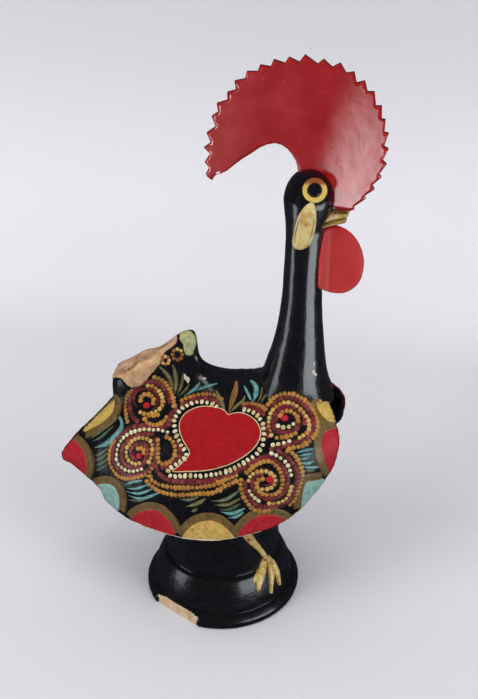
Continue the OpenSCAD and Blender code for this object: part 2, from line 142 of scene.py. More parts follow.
def at_runs(line, run, s):
    """Places along a line, where run_of gave run, at the distances s from its start."""
    return np.stack([np.interp(s, run, line[:, k]) for k in range(line.shape[1])], -1)


def evened(line, step, least):
    """The line again in even steps of about that length, and in at least so many."""
    run = run_of(line)
    return at_runs(line, run, np.linspace(0, run[-1], max(least, round(run[-1] / step)) + 1))


def relaxed(values, times):
    for _ in range(times):
        values[1:-1] = (values[:-2] + 2 * values[1:-1] + values[2:]) / 4
    return values


SCATTER = (374761393, 668265263, 2147483647)  # large odd numbers that scatter the cells
SCRAMBLE, WORD, HALF_WORD = 1274126177, 0xFFFFFFFF, 0xFFFF


def lattice(cell, seed):
    """A repeatable random number from -1 to 1 for each whole-numbered cell."""
    h = (sum(cell[..., k] * SCATTER[k] for k in range(3)) + seed * SCRAMBLE) & WORD
    h = ((h ^ (h >> 13)) * SCRAMBLE) & WORD
    h = h ^ (h >> 16)
    return (h & HALF_WORD) / (HALF_WORD / 2) - 1


def lumps(p, size, seed, octaves=1):
    """Smooth random lumps of about that size in mm, from -1 to 1."""
    total, gain, norm = 0, 1.0, 0
    for k in range(octaves):
        q = np.asarray(p) / size * 2**k
        base = np.floor(q).astype(np.int64)
        f = q - base
        f = f * f * (3 - 2 * f)
        value = 0
        for corner in np.ndindex(2, 2, 2):
            x, y, z = np.moveaxis(np.abs(1 - np.array(corner) - f), -1, 0)
            value = value + x * y * z * lattice(base + np.array(corner), seed + k)
        total = total + gain * value
        norm += gain
        gain *= 0.5
    return total / norm


# ------------------------------------------------------------------ meshes
def mesh_object(name, points_mm, faces):
    mesh = bpy.data.meshes.new(name)
    mesh.from_pydata([tuple(p) for p in np.asarray(points_mm, float) * MM], [], [tuple(f) for f in faces])
    mesh.validate()
    return linked(name, mesh)


def node_copy(node, name):
    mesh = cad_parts[node].data.copy()
    mesh.materials.clear()
    return linked(name, mesh)


def joined(name, objs):
    made = bmesh.new()
    for data in [o.data for o in objs]:
        made.from_mesh(data)
        bpy.data.meshes.remove(data)
    mesh = bpy.data.meshes.new(name)
    made.to_mesh(mesh)
    made.free()
    return linked(name, mesh)


def fused(obj, voxel_mm):
    """Melts what overlaps in obj into one closed skin."""
    mod = obj.modifiers.new("skin", "REMESH")
    mod.mode = "VOXEL"
    mod.voxel_size = voxel_mm * MM
    mod.adaptivity = 0
    new = bpy.data.meshes.new_from_object(obj.evaluated_get(bpy.context.evaluated_depsgraph_get()))
    obj.modifiers.clear()
    old = obj.data
    obj.data = new
    bpy.data.meshes.remove(old)
    new.name = obj.name
    return obj


def vertex_rows(obj, kind):
    rows = np.zeros(len(obj.data.vertices) * 3, np.float32)
    obj.data.vertices.foreach_get(kind, rows)
    return rows.reshape(-1, 3).astype(float)


def get_points(obj):
    return vertex_rows(obj, "co") / MM


def set_points(obj, points):
    obj.data.vertices.foreach_set("co", (points * MM).astype(np.float32).ravel())
    obj.data.update()


def smoothed(obj, steps, weight=1.0, factor=0.5):
    """Relaxes the mesh, where weight is one number or one for each vertex."""
    p = get_points(obj)
    n = len(p)
    edges = np.zeros(len(obj.data.edges) * 2, np.int32)
    obj.data.edges.foreach_get("vertices", edges)
    a, b = edges[0::2], edges[1::2]
    count = np.maximum(np.bincount(a, minlength=n) + np.bincount(b, minlength=n), 1)[:, None]
    w = np.broadcast_to(np.asarray(weight, float), (n,))[:, None] * factor
    for _ in range(steps):
        total = np.stack([np.bincount(a, p[b, k], n) + np.bincount(b, p[a, k], n) for k in range(3)], -1)
        p = p + w * (total / count - p)
    set_points(obj, p)
    return obj


def pushed(obj, amount):
    """Moves each vertex along its normal by amount in mm."""
    set_points(obj, get_points(obj) + vertex_rows(obj, "normal") * np.asarray(amount)[:, None])
    return obj


def shade(obj):
    obj.data.polygons.foreach_set("use_smooth", np.ones(len(obj.data.polygons), bool))
    obj.data.update()


def piece(obj, slot, materials, *nodes):
    shade(obj)
    obj.data.materials.clear()
    for m in materials:
        obj.data.materials.append(m)
    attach(obj, "root")
    if nodes:
        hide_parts(*nodes)


def second_material(obj, flags):
    for poly, flag in zip(obj.data.polygons, flags):
        poly.material_index = 1 if flag else 0


# ------------------------------------------------------------------ places in the picture
def ray_of(x, y):
    return LOOK + RIGHT * ((x - CENTRE_X) / FOCAL) - ABOVE * ((y - CENTRE_Y) / FOCAL)


def on_plane(x, y, plane=0.0):
    """Where the camera's ray through a picture point crosses the plane Y = plane, in mm."""
    ray = ray_of(x, y)
    return np.array(EYE + ray * ((plane - EYE[1]) / ray[1]))


def in_picture(p):
    """Picture places of points in mm, the other way round from on_plane."""
    v = np.asarray(p, float) - np.array(EYE)
    right, above, deep = (v @ np.array(way) for way in (RIGHT, ABOVE, LOOK))
    return np.stack([CENTRE_X + FOCAL * right / deep, CENTRE_Y - FOCAL * above / deep], -1)


def turn_of(v, f):
    """Twice the area of face f, negative if it turns clockwise."""
    return sum(v[a][0] * v[b][1] - v[b][0] * v[a][1] for a, b in zip(f, f[1:] + f[:1]))


def inside(edge, x, y):
    b = np.roll(edge, -1, 0)
    cross = (edge[:, 1] > y) != (b[:, 1] > y)
    span = np.where(cross, b[:, 1] - edge[:, 1], 1)
    left_of = x < (b[:, 0] - edge[:, 0]) * (y - edge[:, 1]) / span + edge[:, 0]
    return np.count_nonzero(cross & left_of) % 2 == 1


def from_edge(edge, q):
    """Distances of points q from a closed outline."""
    a, b = edge, np.roll(edge, -1, 0)
    ab = b - a
    t = np.einsum("pij,ij->pi", q[:, None] - a[None], ab) / np.maximum((ab**2).sum(1), 1e-9)
    t = np.clip(t, 0, 1)[..., None]
    return np.min(np.linalg.norm(q[:, None] - (a + t * ab), axis=2), axis=1)


def filled(edge, grid, way):
    """Points and triangles between a closed outline and the points inside it, all turning one way."""
    n = len(edge)
    ring = [(i, (i + 1) % n) for i in range(n)]
    spots, _, faces, _, _, _ = delaunay_2d_cdt([Vector(q) for q in [*edge, *grid]], ring, [], 1, 1e-6)
    v = np.array([tuple(q) for q in spots])
    return v, [tuple(f) if turn_of(v, tuple(f)) * way > 0 else tuple(f[::-1]) for f in faces]


def closed_faces(faces, m):
    """The faces, their copies m points further on and, last, the side faces, with the number of these."""
    ways = {(f[i], f[(i + 1) % len(f)]) for f in faces for i in range(len(f))}
    sides = [(b, a, a + m, b + m) for a, b in ways if (b, a) not in ways]
    return faces + [tuple(i + m for i in f[::-1]) for f in faces] + sides, len(sides)


def flat_edge(outline, half, step, soft, rounding, bend):
    """A picture outline as an outline in X and Z, in steps, through the plate's near edge."""
    p = np.asarray(outline, float)
    if soft:
        p = curve(np.concatenate([p, p[:1]]), np.linspace(0, 1, 30 * len(p)))[:-1]
    flat = []
    for q in p:
        y = -3.0
        for _ in range(4):
            x, _, z = on_plane(q[0], q[1], y)
            y = float(bend(x, z) - half(x, z) * (0.6 if rounding > 1 else 1))
        flat.append((x, z))
    flat = np.array(flat)
    edge = []
    for a, b in zip(flat, np.roll(flat, -1, 0)):
        long = np.linalg.norm(b - a)
        if soft and long < step and edge and np.linalg.norm(a - edge[-1]) < step * 0.8:
            continue
        n = max(1, round(long / step))
        edge += [a + (b - a) * k / n for k in range(n)]
    return np.array(edge)


def plate(name, outline, half, step, soft, rounding, bend):
    """A flat piece in the bird's middle plane behind an outline in the picture.

    half gives its half thickness from x and z, bend how far it leaves the middle plane, soft says
    whether the outline is a smooth curve, and rounding how far in from the edge the faces curve.
    """
    edge = flat_edge(outline, half, step, soft, rounding, bend)
    lo, hi = edge.min(0), edge.max(0)
    gx, gz = np.meshgrid(np.arange(lo[0] + step / 2, hi[0], step), np.arange(lo[1] + step / 2, hi[1], step))
    grid = np.stack([gx.ravel(), gz.ravel()], -1)
    far = from_edge(edge, grid)
    grid = grid[[k for k in range(len(grid)) if far[k] > step * 0.55 and inside(edge, *grid[k])]]
    v, faces = filled(edge, grid, 1)
    x, z = v[:, 0], v[:, 1]
    h, mid = half(x, z), bend(x, z)
    if rounding > 0:
        t = np.clip(1 - from_edge(edge, v) / rounding, 0, 1)
        h = h * np.sqrt(np.maximum(1 - t**2, 0.02))
    faces, sides = closed_faces(faces, len(v))
    points = np.concatenate([np.stack([x, mid + side * h, z], -1) for side in (-1, 1)])
    return mesh_object(name, points, faces), sides


# ------------------------------------------------------------------ materials
def linear(code):
    """An sRGB colour such as 1d1c1e as linear light."""
    parts = [int(code[i : i + 2], 16) / 255 for i in (0, 2, 4)]
    return tuple(c / 12.92 if c < 0.04045 else ((c + 0.055) / 1.055) ** 2.4 for c in parts) + (1,)


class Nodes:
    """The shader nodes of a material or a world."""

    def __init__(self, owner):
        owner.use_nodes = True
        self.t = owner.node_tree
        self.t.nodes.clear()

    def put(self, socket, value):
        """Sets an input to a value or joins it to another node's output."""
        if hasattr(value, "node"):
            self.t.links.new(value, socket)
        else:
            socket.default_value = value

    def node(self, kind, inputs=None, **settings):
        node = self.t.nodes.new("ShaderNode" + kind)
        for name, value in settings.items():
            setattr(node, name, value)
        for name, value in (inputs or {}).items():
            self.put(node.inputs[name], value)
        return node

    def maths(self, kind, a, b):
        return self.node("Math", {0: a, 1: b}, operation=kind).outputs[0]

    def either(self, share, a, b):
        """Shader a where share is 0 and shader b where it is 1."""
        return self.node("MixShader", {0: share, 1: a.outputs[0], 2: b.outputs[0]})

    def steps(self, value, low, high):
        """0 below low and 1 above high, or the other way round if low is the greater."""
        first = float(low > high)
        return self.node("MapRange", {
            "Value": value, "From Min": min(low, high), "From Max": max(low, high),
            "To Min": first, "To Max": 1 - first}, interpolation_type="SMOOTHSTEP").outputs["Result"]

    def ranged(self, value, low, high):
        """low where value is 0 and high where it is 1."""
        return self.node("MapRange", {"Value": value, "To Min": low, "To Max": high}).outputs["Result"]


class Paint(Nodes):
    """A node material on the object's own coordinates, in mm."""

    def __init__(self, name, coat=0.0, specular=0.5):
        self.m = bpy.data.materials.new(name)
        super().__init__(self.m)
        self.s = self.node("BsdfPrincipled", {
            "Coat Weight": coat, "Coat Roughness": 0.12, "Specular IOR Level": specular})
        self.node("OutputMaterial", {0: self.s.outputs[0]})
        self.place = self.node("TexCoord").outputs["Object"]
        self.last_bump = None

    def mapped(self, stretch=(1, 1, 1)):
        return self.node("Mapping", {"Scale": [s / MM for s in stretch], "Vector": self.place}).outputs[0]

    def noise(self, size, detail=2.0, stretch=(1, 1, 1), warp=0.0, rough=0.5):
        return self.node("TexNoise", {
            "Scale": 1 / size, "Detail": detail, "Roughness": rough, "Distortion": warp,
            "Vector": self.mapped(stretch)}).outputs["Fac"]

    def height(self):
        """Z in mm."""
        return self.node("SeparateXYZ", {0: self.mapped()}).outputs[2]

    def spots(self, size):
        return self.node("TexVoronoi", {"Scale": 1 / size, "Vector": self.mapped()}).outputs["Distance"]

    def blend(self, share, a, b):
        """Colour a where share is 0 and colour b where it is 1."""
        a, b = (linear(v) if isinstance(v, str) else v for v in (a, b))
        return self.node("Mix", {"Factor": share, 6: a, 7: b}, data_type="RGBA").outputs[2]

    def colour(self, value):
        self.put(self.s.inputs["Base Color"], value)

    def rough(self, value, low, high):
        self.put(self.s.inputs["Roughness"], self.ranged(value, low, high))

    def bump(self, height, depth_mm, strength=1.0):
        """Adds a bump to the bumps before it."""
        under = {} if self.last_bump is None else {"Normal": self.last_bump}
        node = self.node("Bump", {"Height": height, "Distance": depth_mm * MM, "Strength": strength, **under})
        self.last_bump = node.outputs["Normal"]
        self.put(self.s.inputs["Normal"], self.last_bump)


def black_varnish(name, streak=(1, 1, 0.12), chips=0.79, coat=0.6, specular=0.5, dull=None):
    """Brushed black varnish, duller below the heights given as dull."""
    p = Paint(name, coat=coat, specular=specular)
    if dull:
        p.put(p.s.inputs["Coat Weight"], p.maths("MULTIPLY", p.steps(p.height(), *dull), coat))
    streaks = p.noise(1.6, 3, streak, 0.4)
    cloud = p.noise(14, 4)
    fleck = p.noise(2.3, 5, rough=0.7)
    worn, flecks = p.steps(p.noise(26, 2), 0.42, 0.62), p.steps(fleck, chips - 0.06, chips - 0.03)
    wear = p.maths("MULTIPLY", worn, flecks)
    tone = p.blend(cloud, "08080b", "16161b")
    tone = p.blend(p.steps(streaks, 0.58, 0.8), tone, "221d1c")
    tone = p.blend(wear, tone, "b9ae98")
    p.colour(tone)
    p.rough(p.maths("ADD", p.maths("MULTIPLY", streaks, 0.5), p.maths("MULTIPLY", cloud, 0.5)), 0.14, 0.42)
    p.bump(streaks, 0.3, 0.6)
    p.bump(p.noise(4.5, 3), 0.55, 0.6)
    p.bump(p.noise(1.0, 3), 0.06, 0.6)
    p.bump(wear, -0.15, 1)
    return p.m


def enamel(name, dark, light, wear_colour, rough=0.22, pits=True, coat=0.4, specular=0.5):
    p = Paint(name, coat=coat, specular=specular)
    cloud = p.noise(18, 3)
    grit = p.noise(1.1, 4)
    tone = p.blend(p.steps(cloud, 0.3, 0.7), dark, light)
    wear = p.steps(p.noise(2.6, 6, rough=0.75), 0.735, 0.76)
    tone = p.blend(wear, tone, wear_colour)
    p.colour(tone)
    p.rough(cloud, rough, rough + 0.2)
    p.bump(p.noise(9, 2), 0.28, 0.5)
    p.bump(grit, 0.04, 0.5)
    if pits:
        p.bump(p.steps(p.spots(5.5), 0.0, 0.12), 0.25, 0.8)
    return p.m


def raw_clay(name, dark, mid, light, grit=0.5):
    p = Paint(name, specular=0.3)
    cloud = p.noise(7, 5, rough=0.65)
    tone = p.blend(p.steps(cloud, 0.3, 0.52), dark, mid)
    tone = p.blend(p.steps(cloud, 0.5, 0.72), tone, light)
    p.colour(tone)
    p.rough(cloud, 0.75, 0.98)
    p.bump(p.noise(1.5, 6, rough=0.7), grit, 0.9)
    return p.m


def ochre(name, pale, tan, brown, grain, top=None):
    """Pale yellow enamel with brown brushing, darker above the height top."""
    p = Paint(name, coat=0.3, specular=0.5)
    streak = p.noise(2.6, 4, grain, 0.3, 0.6)
    cloud = p.noise(5.5, 3)
    tone = p.blend(p.steps(cloud, 0.42, 0.66), pale, tan)
    tone = p.blend(p.steps(streak, 0.54, 0.7), tone, brown)
    if top:
        tone = p.blend(p.steps(p.height(), top - 1.2, top + 1.6), tone, "8e4c1c")
    p.colour(tone)
    p.rough(cloud, 0.25, 0.5)
    p.bump(streak, 0.3, 0.6)
    p.bump(p.noise(1.1, 4), 0.08, 0.6)
    return p.m


BLACK = black_varnish("black_varnish", coat=0.9, specular=0.26, dull=(172, 196))
BLACK_TURNED = black_varnish("black_varnish_turned", (0.25, 0.25, 1.4), coat=0.4, specular=0.4)
RED = enamel("red_enamel", "9a1013", "a71316", "c98a7c", 0.15)
RED_WATTLE = enamel("red_enamel_wattle", "b82420", "c62e29", "7c1014", 0.5, False, 0.05, 0.4)
RED_EDGE = enamel("red_enamel_edge", "2c1013", "4a1518", "6b1a1c", 0.5, False, 0.05, 0.2)
PUPIL = black_varnish("pupil_black")
EYE_RING = ochre("eye_ring", "d9be62", "cfae52", "b98b3c", (1, 1, 1), 339.6)
BEAK_TOP = ochre("beak_top", "c9b062", "b98643", "8d5727", (0.35, 1, 1.2))
BEAK_LOW = ochre("beak_low", "bfa458", "a87a3a", "744a22", (0.35, 1, 1.2))
LOBE_PAINT = ochre("lobe_paint", "dccb86", "cfa552", "b57a35", (1.3, 1, 0.3))
LEG_PAINT = ochre("leg_paint", "dcc274", "c7a256", "7d5a2e", (1.1, 1.1, 0.5))
TORN = raw_clay("torn_clay", "6a4a34", "a47f5f", "cbaa88")
BAND = raw_clay("pale_clay", "a37d55", "c19c72", "d6ba92", 0.3)
FOOT_CLAY = raw_clay("chipped_foot_clay", "c6a27e", "dcc19c", "ead8be", 0.3)

# ------------------------------------------------------------------ sizes of the CAD
WING_BACK, WING_FRONT, WING_HALF = 126, 88.5, 63
HEM_Z, SHOULDER_Z = 86, 183
WING_T, WING_SWELL, NICK_H = 4.5, 15, 6
THIN_EDGE, THIN_RUN, FRONT_TURN = 1, 0.22, 0.955
# places on the wing's upper edge and its hem, from tail to breast, as shares of its length, half width
# and height
EDGE_PAIRS = [
    [[-1, 0.04, 0.23], [-0.99, 0.055, 0.155]],
    [[-0.91, 0.04, 0.38], [-0.92, 0.15, 0.15]],
    [[-0.755, 0.05, 0.61], [-0.77, 0.39, 0.11]],
    [[-0.635, 0.08, 0.79], [-0.62, 0.59, 0.035]],
    [[-0.475, 0.175, 0.915], [-0.45, 0.78, 0]],
    [[-0.24, 0.205, 0.955], [-0.16, 0.955, 0]],
    [[-0.02, 0.2, 0.945], [0.08, 1, 0.035]],
    [[0.26, 0.34, 0.985], [0.475, 0.92, 0.14]],
    [[0.52, 0.43, 1], [0.7, 0.79, 0.25]],
    [[0.72, 0.4, 1], [0.86, 0.63, 0.4]],
    [[0.87, 0.22, 1], [0.94, 0.52, 0.5]],
    [[0.955, 0.26, 0.925], [0.985, 0.445, 0.6]],
    [[0.998, 0.4, 0.79], [1, 0.42, 0.725]],
]


def station(i):
    return i / (len(EDGE_PAIRS) - 1)


def place(share):
    x, y, z = share
    return [x * (WING_BACK if x < 0 else WING_FRONT), y * WING_HALF, mix(HEM_Z, SHOULDER_Z, z)]


TOP_POINTS = [place(p[0]) for p in EDGE_PAIRS]
HEM_POINTS = [place(p[1]) for p in EDGE_PAIRS]
NICK_U, NICK_RUN = station(2.6), 0.012


def top_edge(u):
    return curve(TOP_POINTS, u)


def hem(u):
    low = curve(HEM_POINTS, u)
    low[..., 2] += NICK_H * (1 - ease((u - NICK_U) / NICK_RUN)) * ease(u / NICK_U)
    return low


def outer(u, v):
    """Outer surface of the left wing, u from tail to breast, v from top to hem."""
    u, v = np.broadcast_arrays(np.asarray(u, float), np.asarray(v, float))
    t, h = top_edge(u), hem(u)
    c = h - t
    out = units(np.stack([np.zeros_like(u), -c[..., 2], c[..., 1]], -1))
    swell = WING_SWELL * np.maximum(np.sin(np.pi * u), 0) ** 0.6
    return mix(t, h, v[..., None]) + out * (swell * 4 * v * (1 - v))[..., None]


def out_of(u, v, step=0.004):
    """The outward direction of the wing's outer surface."""
    u = np.minimum(u, FRONT_TURN)
    du = outer(u + step, v) - outer(np.maximum(u - step, 0), v)
    dv = outer(u, np.minimum(v + step, 1)) - outer(u, np.maximum(v - step, 0))
    return units(np.cross(du, dv))


def thickness(u, v):
    thin = mix(WING_T, THIN_EDGE, ease((u - station(3)) / station(1)))
    return mix(thin, WING_T, ease(v / THIN_RUN))


def quads(lo, hi, k):
    """Faces between two rings of k points, which start at lo and hi."""
    return [(lo + j, lo + (j + 1) % k, hi + (j + 1) % k, hi + j) for j in range(k)]


def skin_faces(rings, k):
    """Faces along a tube of rings, with both ends closed."""
    faces = [f for i in range(rings - 1) for f in quads(i * k, (i + 1) * k, k)]
    return faces + [tuple(range(k - 1, -1, -1)), tuple((rings - 1) * k + j for j in range(k))]


WING_GAP = 0.6  # how far each wing passes the bird's middle at its ends


def wing_mesh(side, nu=200, nv=44):
    u, v = np.broadcast_arrays(np.linspace(0, 1, nu + 1)[:, None], np.linspace(0, 1, nv + 1)[None, :])
    face = outer(u, v)
    back = face - out_of(u, v) * thickness(u, v)[..., None]
    # at the stern both wings are luted together, with no slit between them
    stern = 1 - ease((u - station(1.1)) / station(0.5))
    back[..., 1] = mix(np.maximum(back[..., 1], -WING_GAP), -WING_GAP, stern)
    face[..., 1] = np.maximum(face[..., 1], -WING_GAP)
    rings = np.concatenate([face, back[:, ::-1]], 1)
    rings[..., 1] *= side
    faces = skin_faces(nu + 1, rings.shape[1])
    return mesh_object("wing", rings.reshape(-1, 3), [f[::-side] for f in faces])


def lathe(name, profile, centre, sides):
    """Turns (radius, height) pairs round the axis. Ends at radius 0 close it."""
    points, rows = [], []
    a = np.arange(sides) * 2 * np.pi / sides
    for r, z in profile:
        cx, cy = centre(z)
        n = 1 if r <= 1e-6 else sides
        rows.append(range(len(points), len(points) + n))
        points.extend(zip(cx + r * np.cos(a[:n]), cy + r * np.sin(a[:n]), np.full(n, z)))
    faces = []
    for lo, hi in zip(rows, rows[1:]):
        for j in range(sides):
            k = (j + 1) % sides
            corners = [row[i % len(row)] for row, i in ((lo, j), (lo, k), (hi, k), (hi, j))]
            faces.append(tuple(dict.fromkeys(corners)))
    return mesh_object(name, points, faces)


# ------------------------------------------------------------------ neck and head
NECK_LINE = pairs(176, 52.2, 200, 52.9, 216, 54.5, 232, 55.6, 262, 56.2, 285, 56.6, 308, 57.4, 325, 58.8,
    350, 59.2)
NECK_GIRTH = pairs(176, 29.5, 184, 28.2, 190, 25.2, 200, 22, 216, 18.4, 232, 15.9, 247, 14.3, 262, 13.3,
    285, 12.9, 300, 13, 308, 13.6, 316, 15.2, 325, 16.7)
NECK_Z, HEAD_Z, HEAD_R, HEAD_DOME = 176, 325, 16.7, 21


def neck_mesh():
    heights = np.linspace(NECK_Z, HEAD_Z, 90)
    girth = relaxed(np.interp(heights, *zip(*NECK_GIRTH)), 12)
    profile = [(0, NECK_Z), *zip(girth, heights)]
    for w in np.radians(np.arange(6, 90, 6)):
        profile.append((HEAD_R * math.cos(w), HEAD_Z + HEAD_DOME * math.sin(w)))
    profile.append((0, HEAD_Z + HEAD_DOME))
    zz = np.linspace(170, 350, 181)
    xx = relaxed(np.interp(zz, *zip(*NECK_LINE)), 60)
    return lathe("neck", profile, lambda z: (float(np.interp(z, zz, xx)), 0), 120)


# ------------------------------------------------------------------ tail stump and back
# stations along the bird's middle: X, top and half width in mm, and how round the section is
BACK = [(-80.2, 178, 3, 0.6), (-79.2, 184, 7, 0.6), (-77, 188.2, 10.5, 0.55), (-73, 190.5, 13, 0.5),
    (-67, 193, 14.5, 0.5), (-60, 197.5, 15, 0.5), (-54, 200.5, 14, 0.5), (-48, 203.5, 12, 0.55),
    (-43, 207, 9.8, 0.6), (-38, 212, 8, 0.65), (-34, 216, 7, 0.7), (-30, 219.4, 6.2, 0.75),
    (-26, 222, 5.6, 0.8), (-22, 223.4, 5.2, 0.8), (-19.5, 223.2, 5, 0.8), (-17.9, 220, 4.9, 0.8),
    (-16.9, 213, 5, 0.85), (-16, 206, 5.4, 0.9), (-13.5, 200.6, 7, 0.95), (-9, 196.2, 10, 1),
    (-3, 193, 13, 1), (5, 191.2, 15, 1), (17, 191.4, 16, 1), (26, 193, 16, 1), (31, 196.5, 14.5, 1),
    (35, 203, 12, 1), (37, 210, 10, 1), (39, 217, 8, 1)]
BREAK_END = 19
BREAK_EDGE = pairs(176, 333.7, 177, 339.4, 175.6, 344.1, 168.9, 349.5, 164.9, 352.1, 160.9, 359.5,
    160.6, 363.5, 156.2, 368.9, 152.9, 372.9, 147.5, 378.9, 143.5, 383.6, 138.1, 387, 132.1, 388.3,
    126.1, 385, 121.4, 378.5, 115.4, 377.6)
BREAK_AROUND = pairs(104, 380, 100, 340, 150, 325, 178, 318)
BAND_EDGE = pairs(100, 376, 116.7, 374.9, 122.1, 374.2, 127.4, 371.6, 132.8, 368.2, 138.1, 364.2,
    143.5, 361.5, 149.5, 358.8, 154.2, 354.8, 158.2, 350.5, 163.9, 347.4, 170.3, 343.1, 174.3, 341.1,
    178, 339.4)


def back_mesh(name, rows):
    """Lofts the rows of the back, from the torn tail over the saddle to the neck."""
    line = curve(rows, np.linspace(0, 1, (len(rows) - 1) * 5 + 1))
    rise = top_edge(np.linspace(0, 1, 300))
    sides, rings = 44, []
    a = 2 * np.pi * (np.arange(sides) + 0.5) / sides
    for x, top, half, power in line:
        base = float(np.interp(x, rise[:, 0], rise[:, 2])) - 6
        c, d = (np.abs(way) ** power * np.sign(way) for way in (np.cos(a), np.sin(a)))
        rings.append(np.stack([np.full(sides, x), half * c, (top + base) / 2 + (top - base) / 2 * d], -1))
    return mesh_object(name, np.concatenate(rings), skin_faces(len(rings), sides))


def torn_share(p):
    """Whether each point is on the broken part of the tail, and its place in the picture."""
    near = p.copy()
    near[:, 1] = -np.abs(p[:, 1])
    spot = in_picture(near)
    ring = np.array(BREAK_EDGE + BREAK_AROUND)
    return np.array([inside(ring, *q) for q in spot]), spot


# ------------------------------------------------------------------ torso
TORSO_VOXEL = 1.1


def from_seams(p):
    """Distances in mm from the luted seams: the wings' upper edges, the neck's foot and the tail's root."""
    gap = np.full(len(p), 1e9)
    near = (p[:, 2] > 155) & (p[:, 2] < 232)
    x, y, z = p[near].T
    y = np.abs(y)
    q = np.stack([x, y, z], -1)
    d = gap[near]
    for s in top_edge(np.linspace(station(3.4), station(11), 120)):
        d = np.minimum(d, np.linalg.norm(q - s, axis=1))
    neck_foot = np.hypot(np.hypot(x - 52.3, y) - 27, z - 184) * 0.8
    tail_root = np.maximum(np.abs(z - 187) - 9, 0) + np.maximum(x - 34, 0) + np.maximum(-70 - x, 0)
    gap[near] = np.minimum(np.minimum(d, neck_foot), tail_root)
    return gap


def make_torso():
    shell = smoothed(fused(node_copy("body_shell", "shell"), 1.8), 8)
    parts = [shell, wing_mesh(1), wing_mesh(-1), neck_mesh(), back_mesh("root", BACK)]
    torso = fused(joined("torso", parts), TORSO_VOXEL)
    smoothed(torso, 36, 1 - ease((from_seams(get_points(torso)) - 5) / 9))
    smoothed(torso, 3)
    p = get_points(torso)
    pushed(torso, 0.3 * lumps(p, 17, 3) + 0.12 * lumps(p, 6, 5))
    p = get_points(torso)
    part = np.flatnonzero((p[:, 0] < -12) & (p[:, 2] > 172))
    sink = np.zeros(len(p))
    sink[part[torn_share(p[part])[0]]] = -1.3
    pushed(torso, sink)
    return torso


torso = make_torso()
piece(torso, "black_ware", [BLACK], "body_shell", "right_wing", "left_wing", "neck_and_head")


# ------------------------------------------------------------------ broken tail
def make_break():
    """The torn clay of the broken tail, with a smooth pale band under the tear."""
    obj = smoothed(fused(back_mesh("stump_break", BACK[:BREAK_END]), 0.75), 4)
    p = get_points(obj)
    torn, spot = torn_share(p)
    below = spot[:, 1] > np.interp(spot[:, 0], *np.array(BAND_EDGE).T)
    rough = 0.9 * lumps(p, 6.5, 11, 3) + 0.55 * lumps(p, 2.0, 12, 2)
    rough = rough + 0.5 * np.abs(lumps(p * (0.5, 1, 1), 3.2, 14, 2)) - 0.5
    band = 0.25 * lumps(p, 5, 13, 2) + 0.15
    pushed(obj, np.where(torn, np.where(below, band, rough), -1.6))
    piece(obj, "raw_clay", [TORN, BAND], "tail_stump")
    flags = torn & below
    second_material(obj, [all(flags[v] for v in poly.vertices) for poly in obj.data.polygons])


make_break()

# ------------------------------------------------------------------ pedestal
RIM_H, BELL_R, BELL_H = 9, 54.5, 37
WALL, HOLLOW_R = 5, 52
BELL_IN, BELL_SHAPE = 9.5, 1.7
CHIP_W, CHIP_ANGLE, CHIP_FACE = 41, -119, 54.8


def bell(z):
    return mix(BELL_R, BELL_R - BELL_IN, ((z - RIM_H) / (BELL_H - RIM_H)) ** BELL_SHAPE)


def pedestal_profile():
    """The outside in steps of about 1.2 mm and the inside, as (radius, height) pairs."""
    outside = pairs(
        57.6, 0, 58.9, 0.4, 59.7, 1.2, 60, 2.4, 60, 4.6, 59.6, 5.6, 58.6, 6.8, 57.2, 8.2, 56.2, 9, 55.3, 9.4,
        54.4, 9.6, 54.1, 10.2)
    outside += [(bell(z), z) for z in np.arange(11, 35, 1.2)]
    outside += pairs(bell(35.4) - 0.2, 35.3, 43.4, 36.3, 43, 37, 43.2, 37.7, 43.9, 38.6)
    outside += [(mix(44.1, 41.6, t), mix(39.6, 78, t)) for t in np.linspace(0, 1, 30)]
    dense = []
    for (r0, z0), (r1, z1) in zip(outside, outside[1:]):
        n = max(1, int(math.hypot(r1 - r0, z1 - z0) / 1.2))
        dense += [(mix(r0, r1, k / n), mix(z0, z1, k / n)) for k in range(n)]
    return dense + outside[-1:], [(min(r - WALL, HOLLOW_R), z) for r, z in outside[::-1]]


def make_pedestal():
    sides = 360
    a = np.arange(sides) * 2 * np.pi / sides
    dense, hollow = pedestal_profile()
    points = []
    for r, z in dense + hollow:
        r = r + (0.25 * np.sin(2 * a + 0.6) + 0.15 * np.sin(3 * a + z * 0.05))
        points.append(np.stack([r * np.cos(a), r * np.sin(a), np.full(sides, z)], -1))
    p = np.concatenate(points)
    # the chip: a flat facet knocked off the foot rim
    w = math.radians(CHIP_ANGLE)
    axis = np.array([math.cos(w), math.sin(w)])
    reach = p[:, :2] @ axis
    side = p[:, :2] @ np.array([-axis[1], axis[0]])
    limit = CHIP_FACE + 0.22 * lumps(p, 5, 31, 2) - 0.05 * np.clip(p[:, 2], 0, 12)
    bare = (reach > limit - 0.7) & (np.abs(side) < CHIP_W / 2) & (p[:, 2] < RIM_H + 0.5)
    bare &= np.arange(len(p)) < len(dense) * sides
    cut = bare & (reach > limit)
    p[cut, :2] -= (reach - limit)[cut, None] * axis
    k = len(points)
    faces = [f for i in range(k) for f in quads(i * sides, (i + 1) % k * sides, sides)]
    obj = mesh_object("pedestal", p, faces)
    pushed(obj, 0.12 * lumps(get_points(obj), 9, 21) * (get_points(obj)[:, 2] > 0.5))
    piece(obj, "black_ware", [BLACK_TURNED, FOOT_CLAY], "base_pedestal")
    second_material(obj, [all(bare[v] for v in f) for f in faces])
    return obj


pedestal = make_pedestal()


# ------------------------------------------------------------------ small clay pieces
def clay_piece(name, node, slot, material):
    """A small piece in the CAD's form, with its edges softened."""
    piece(smoothed(fused(node_copy(node, name), 0.35), 4), slot, [material], node)


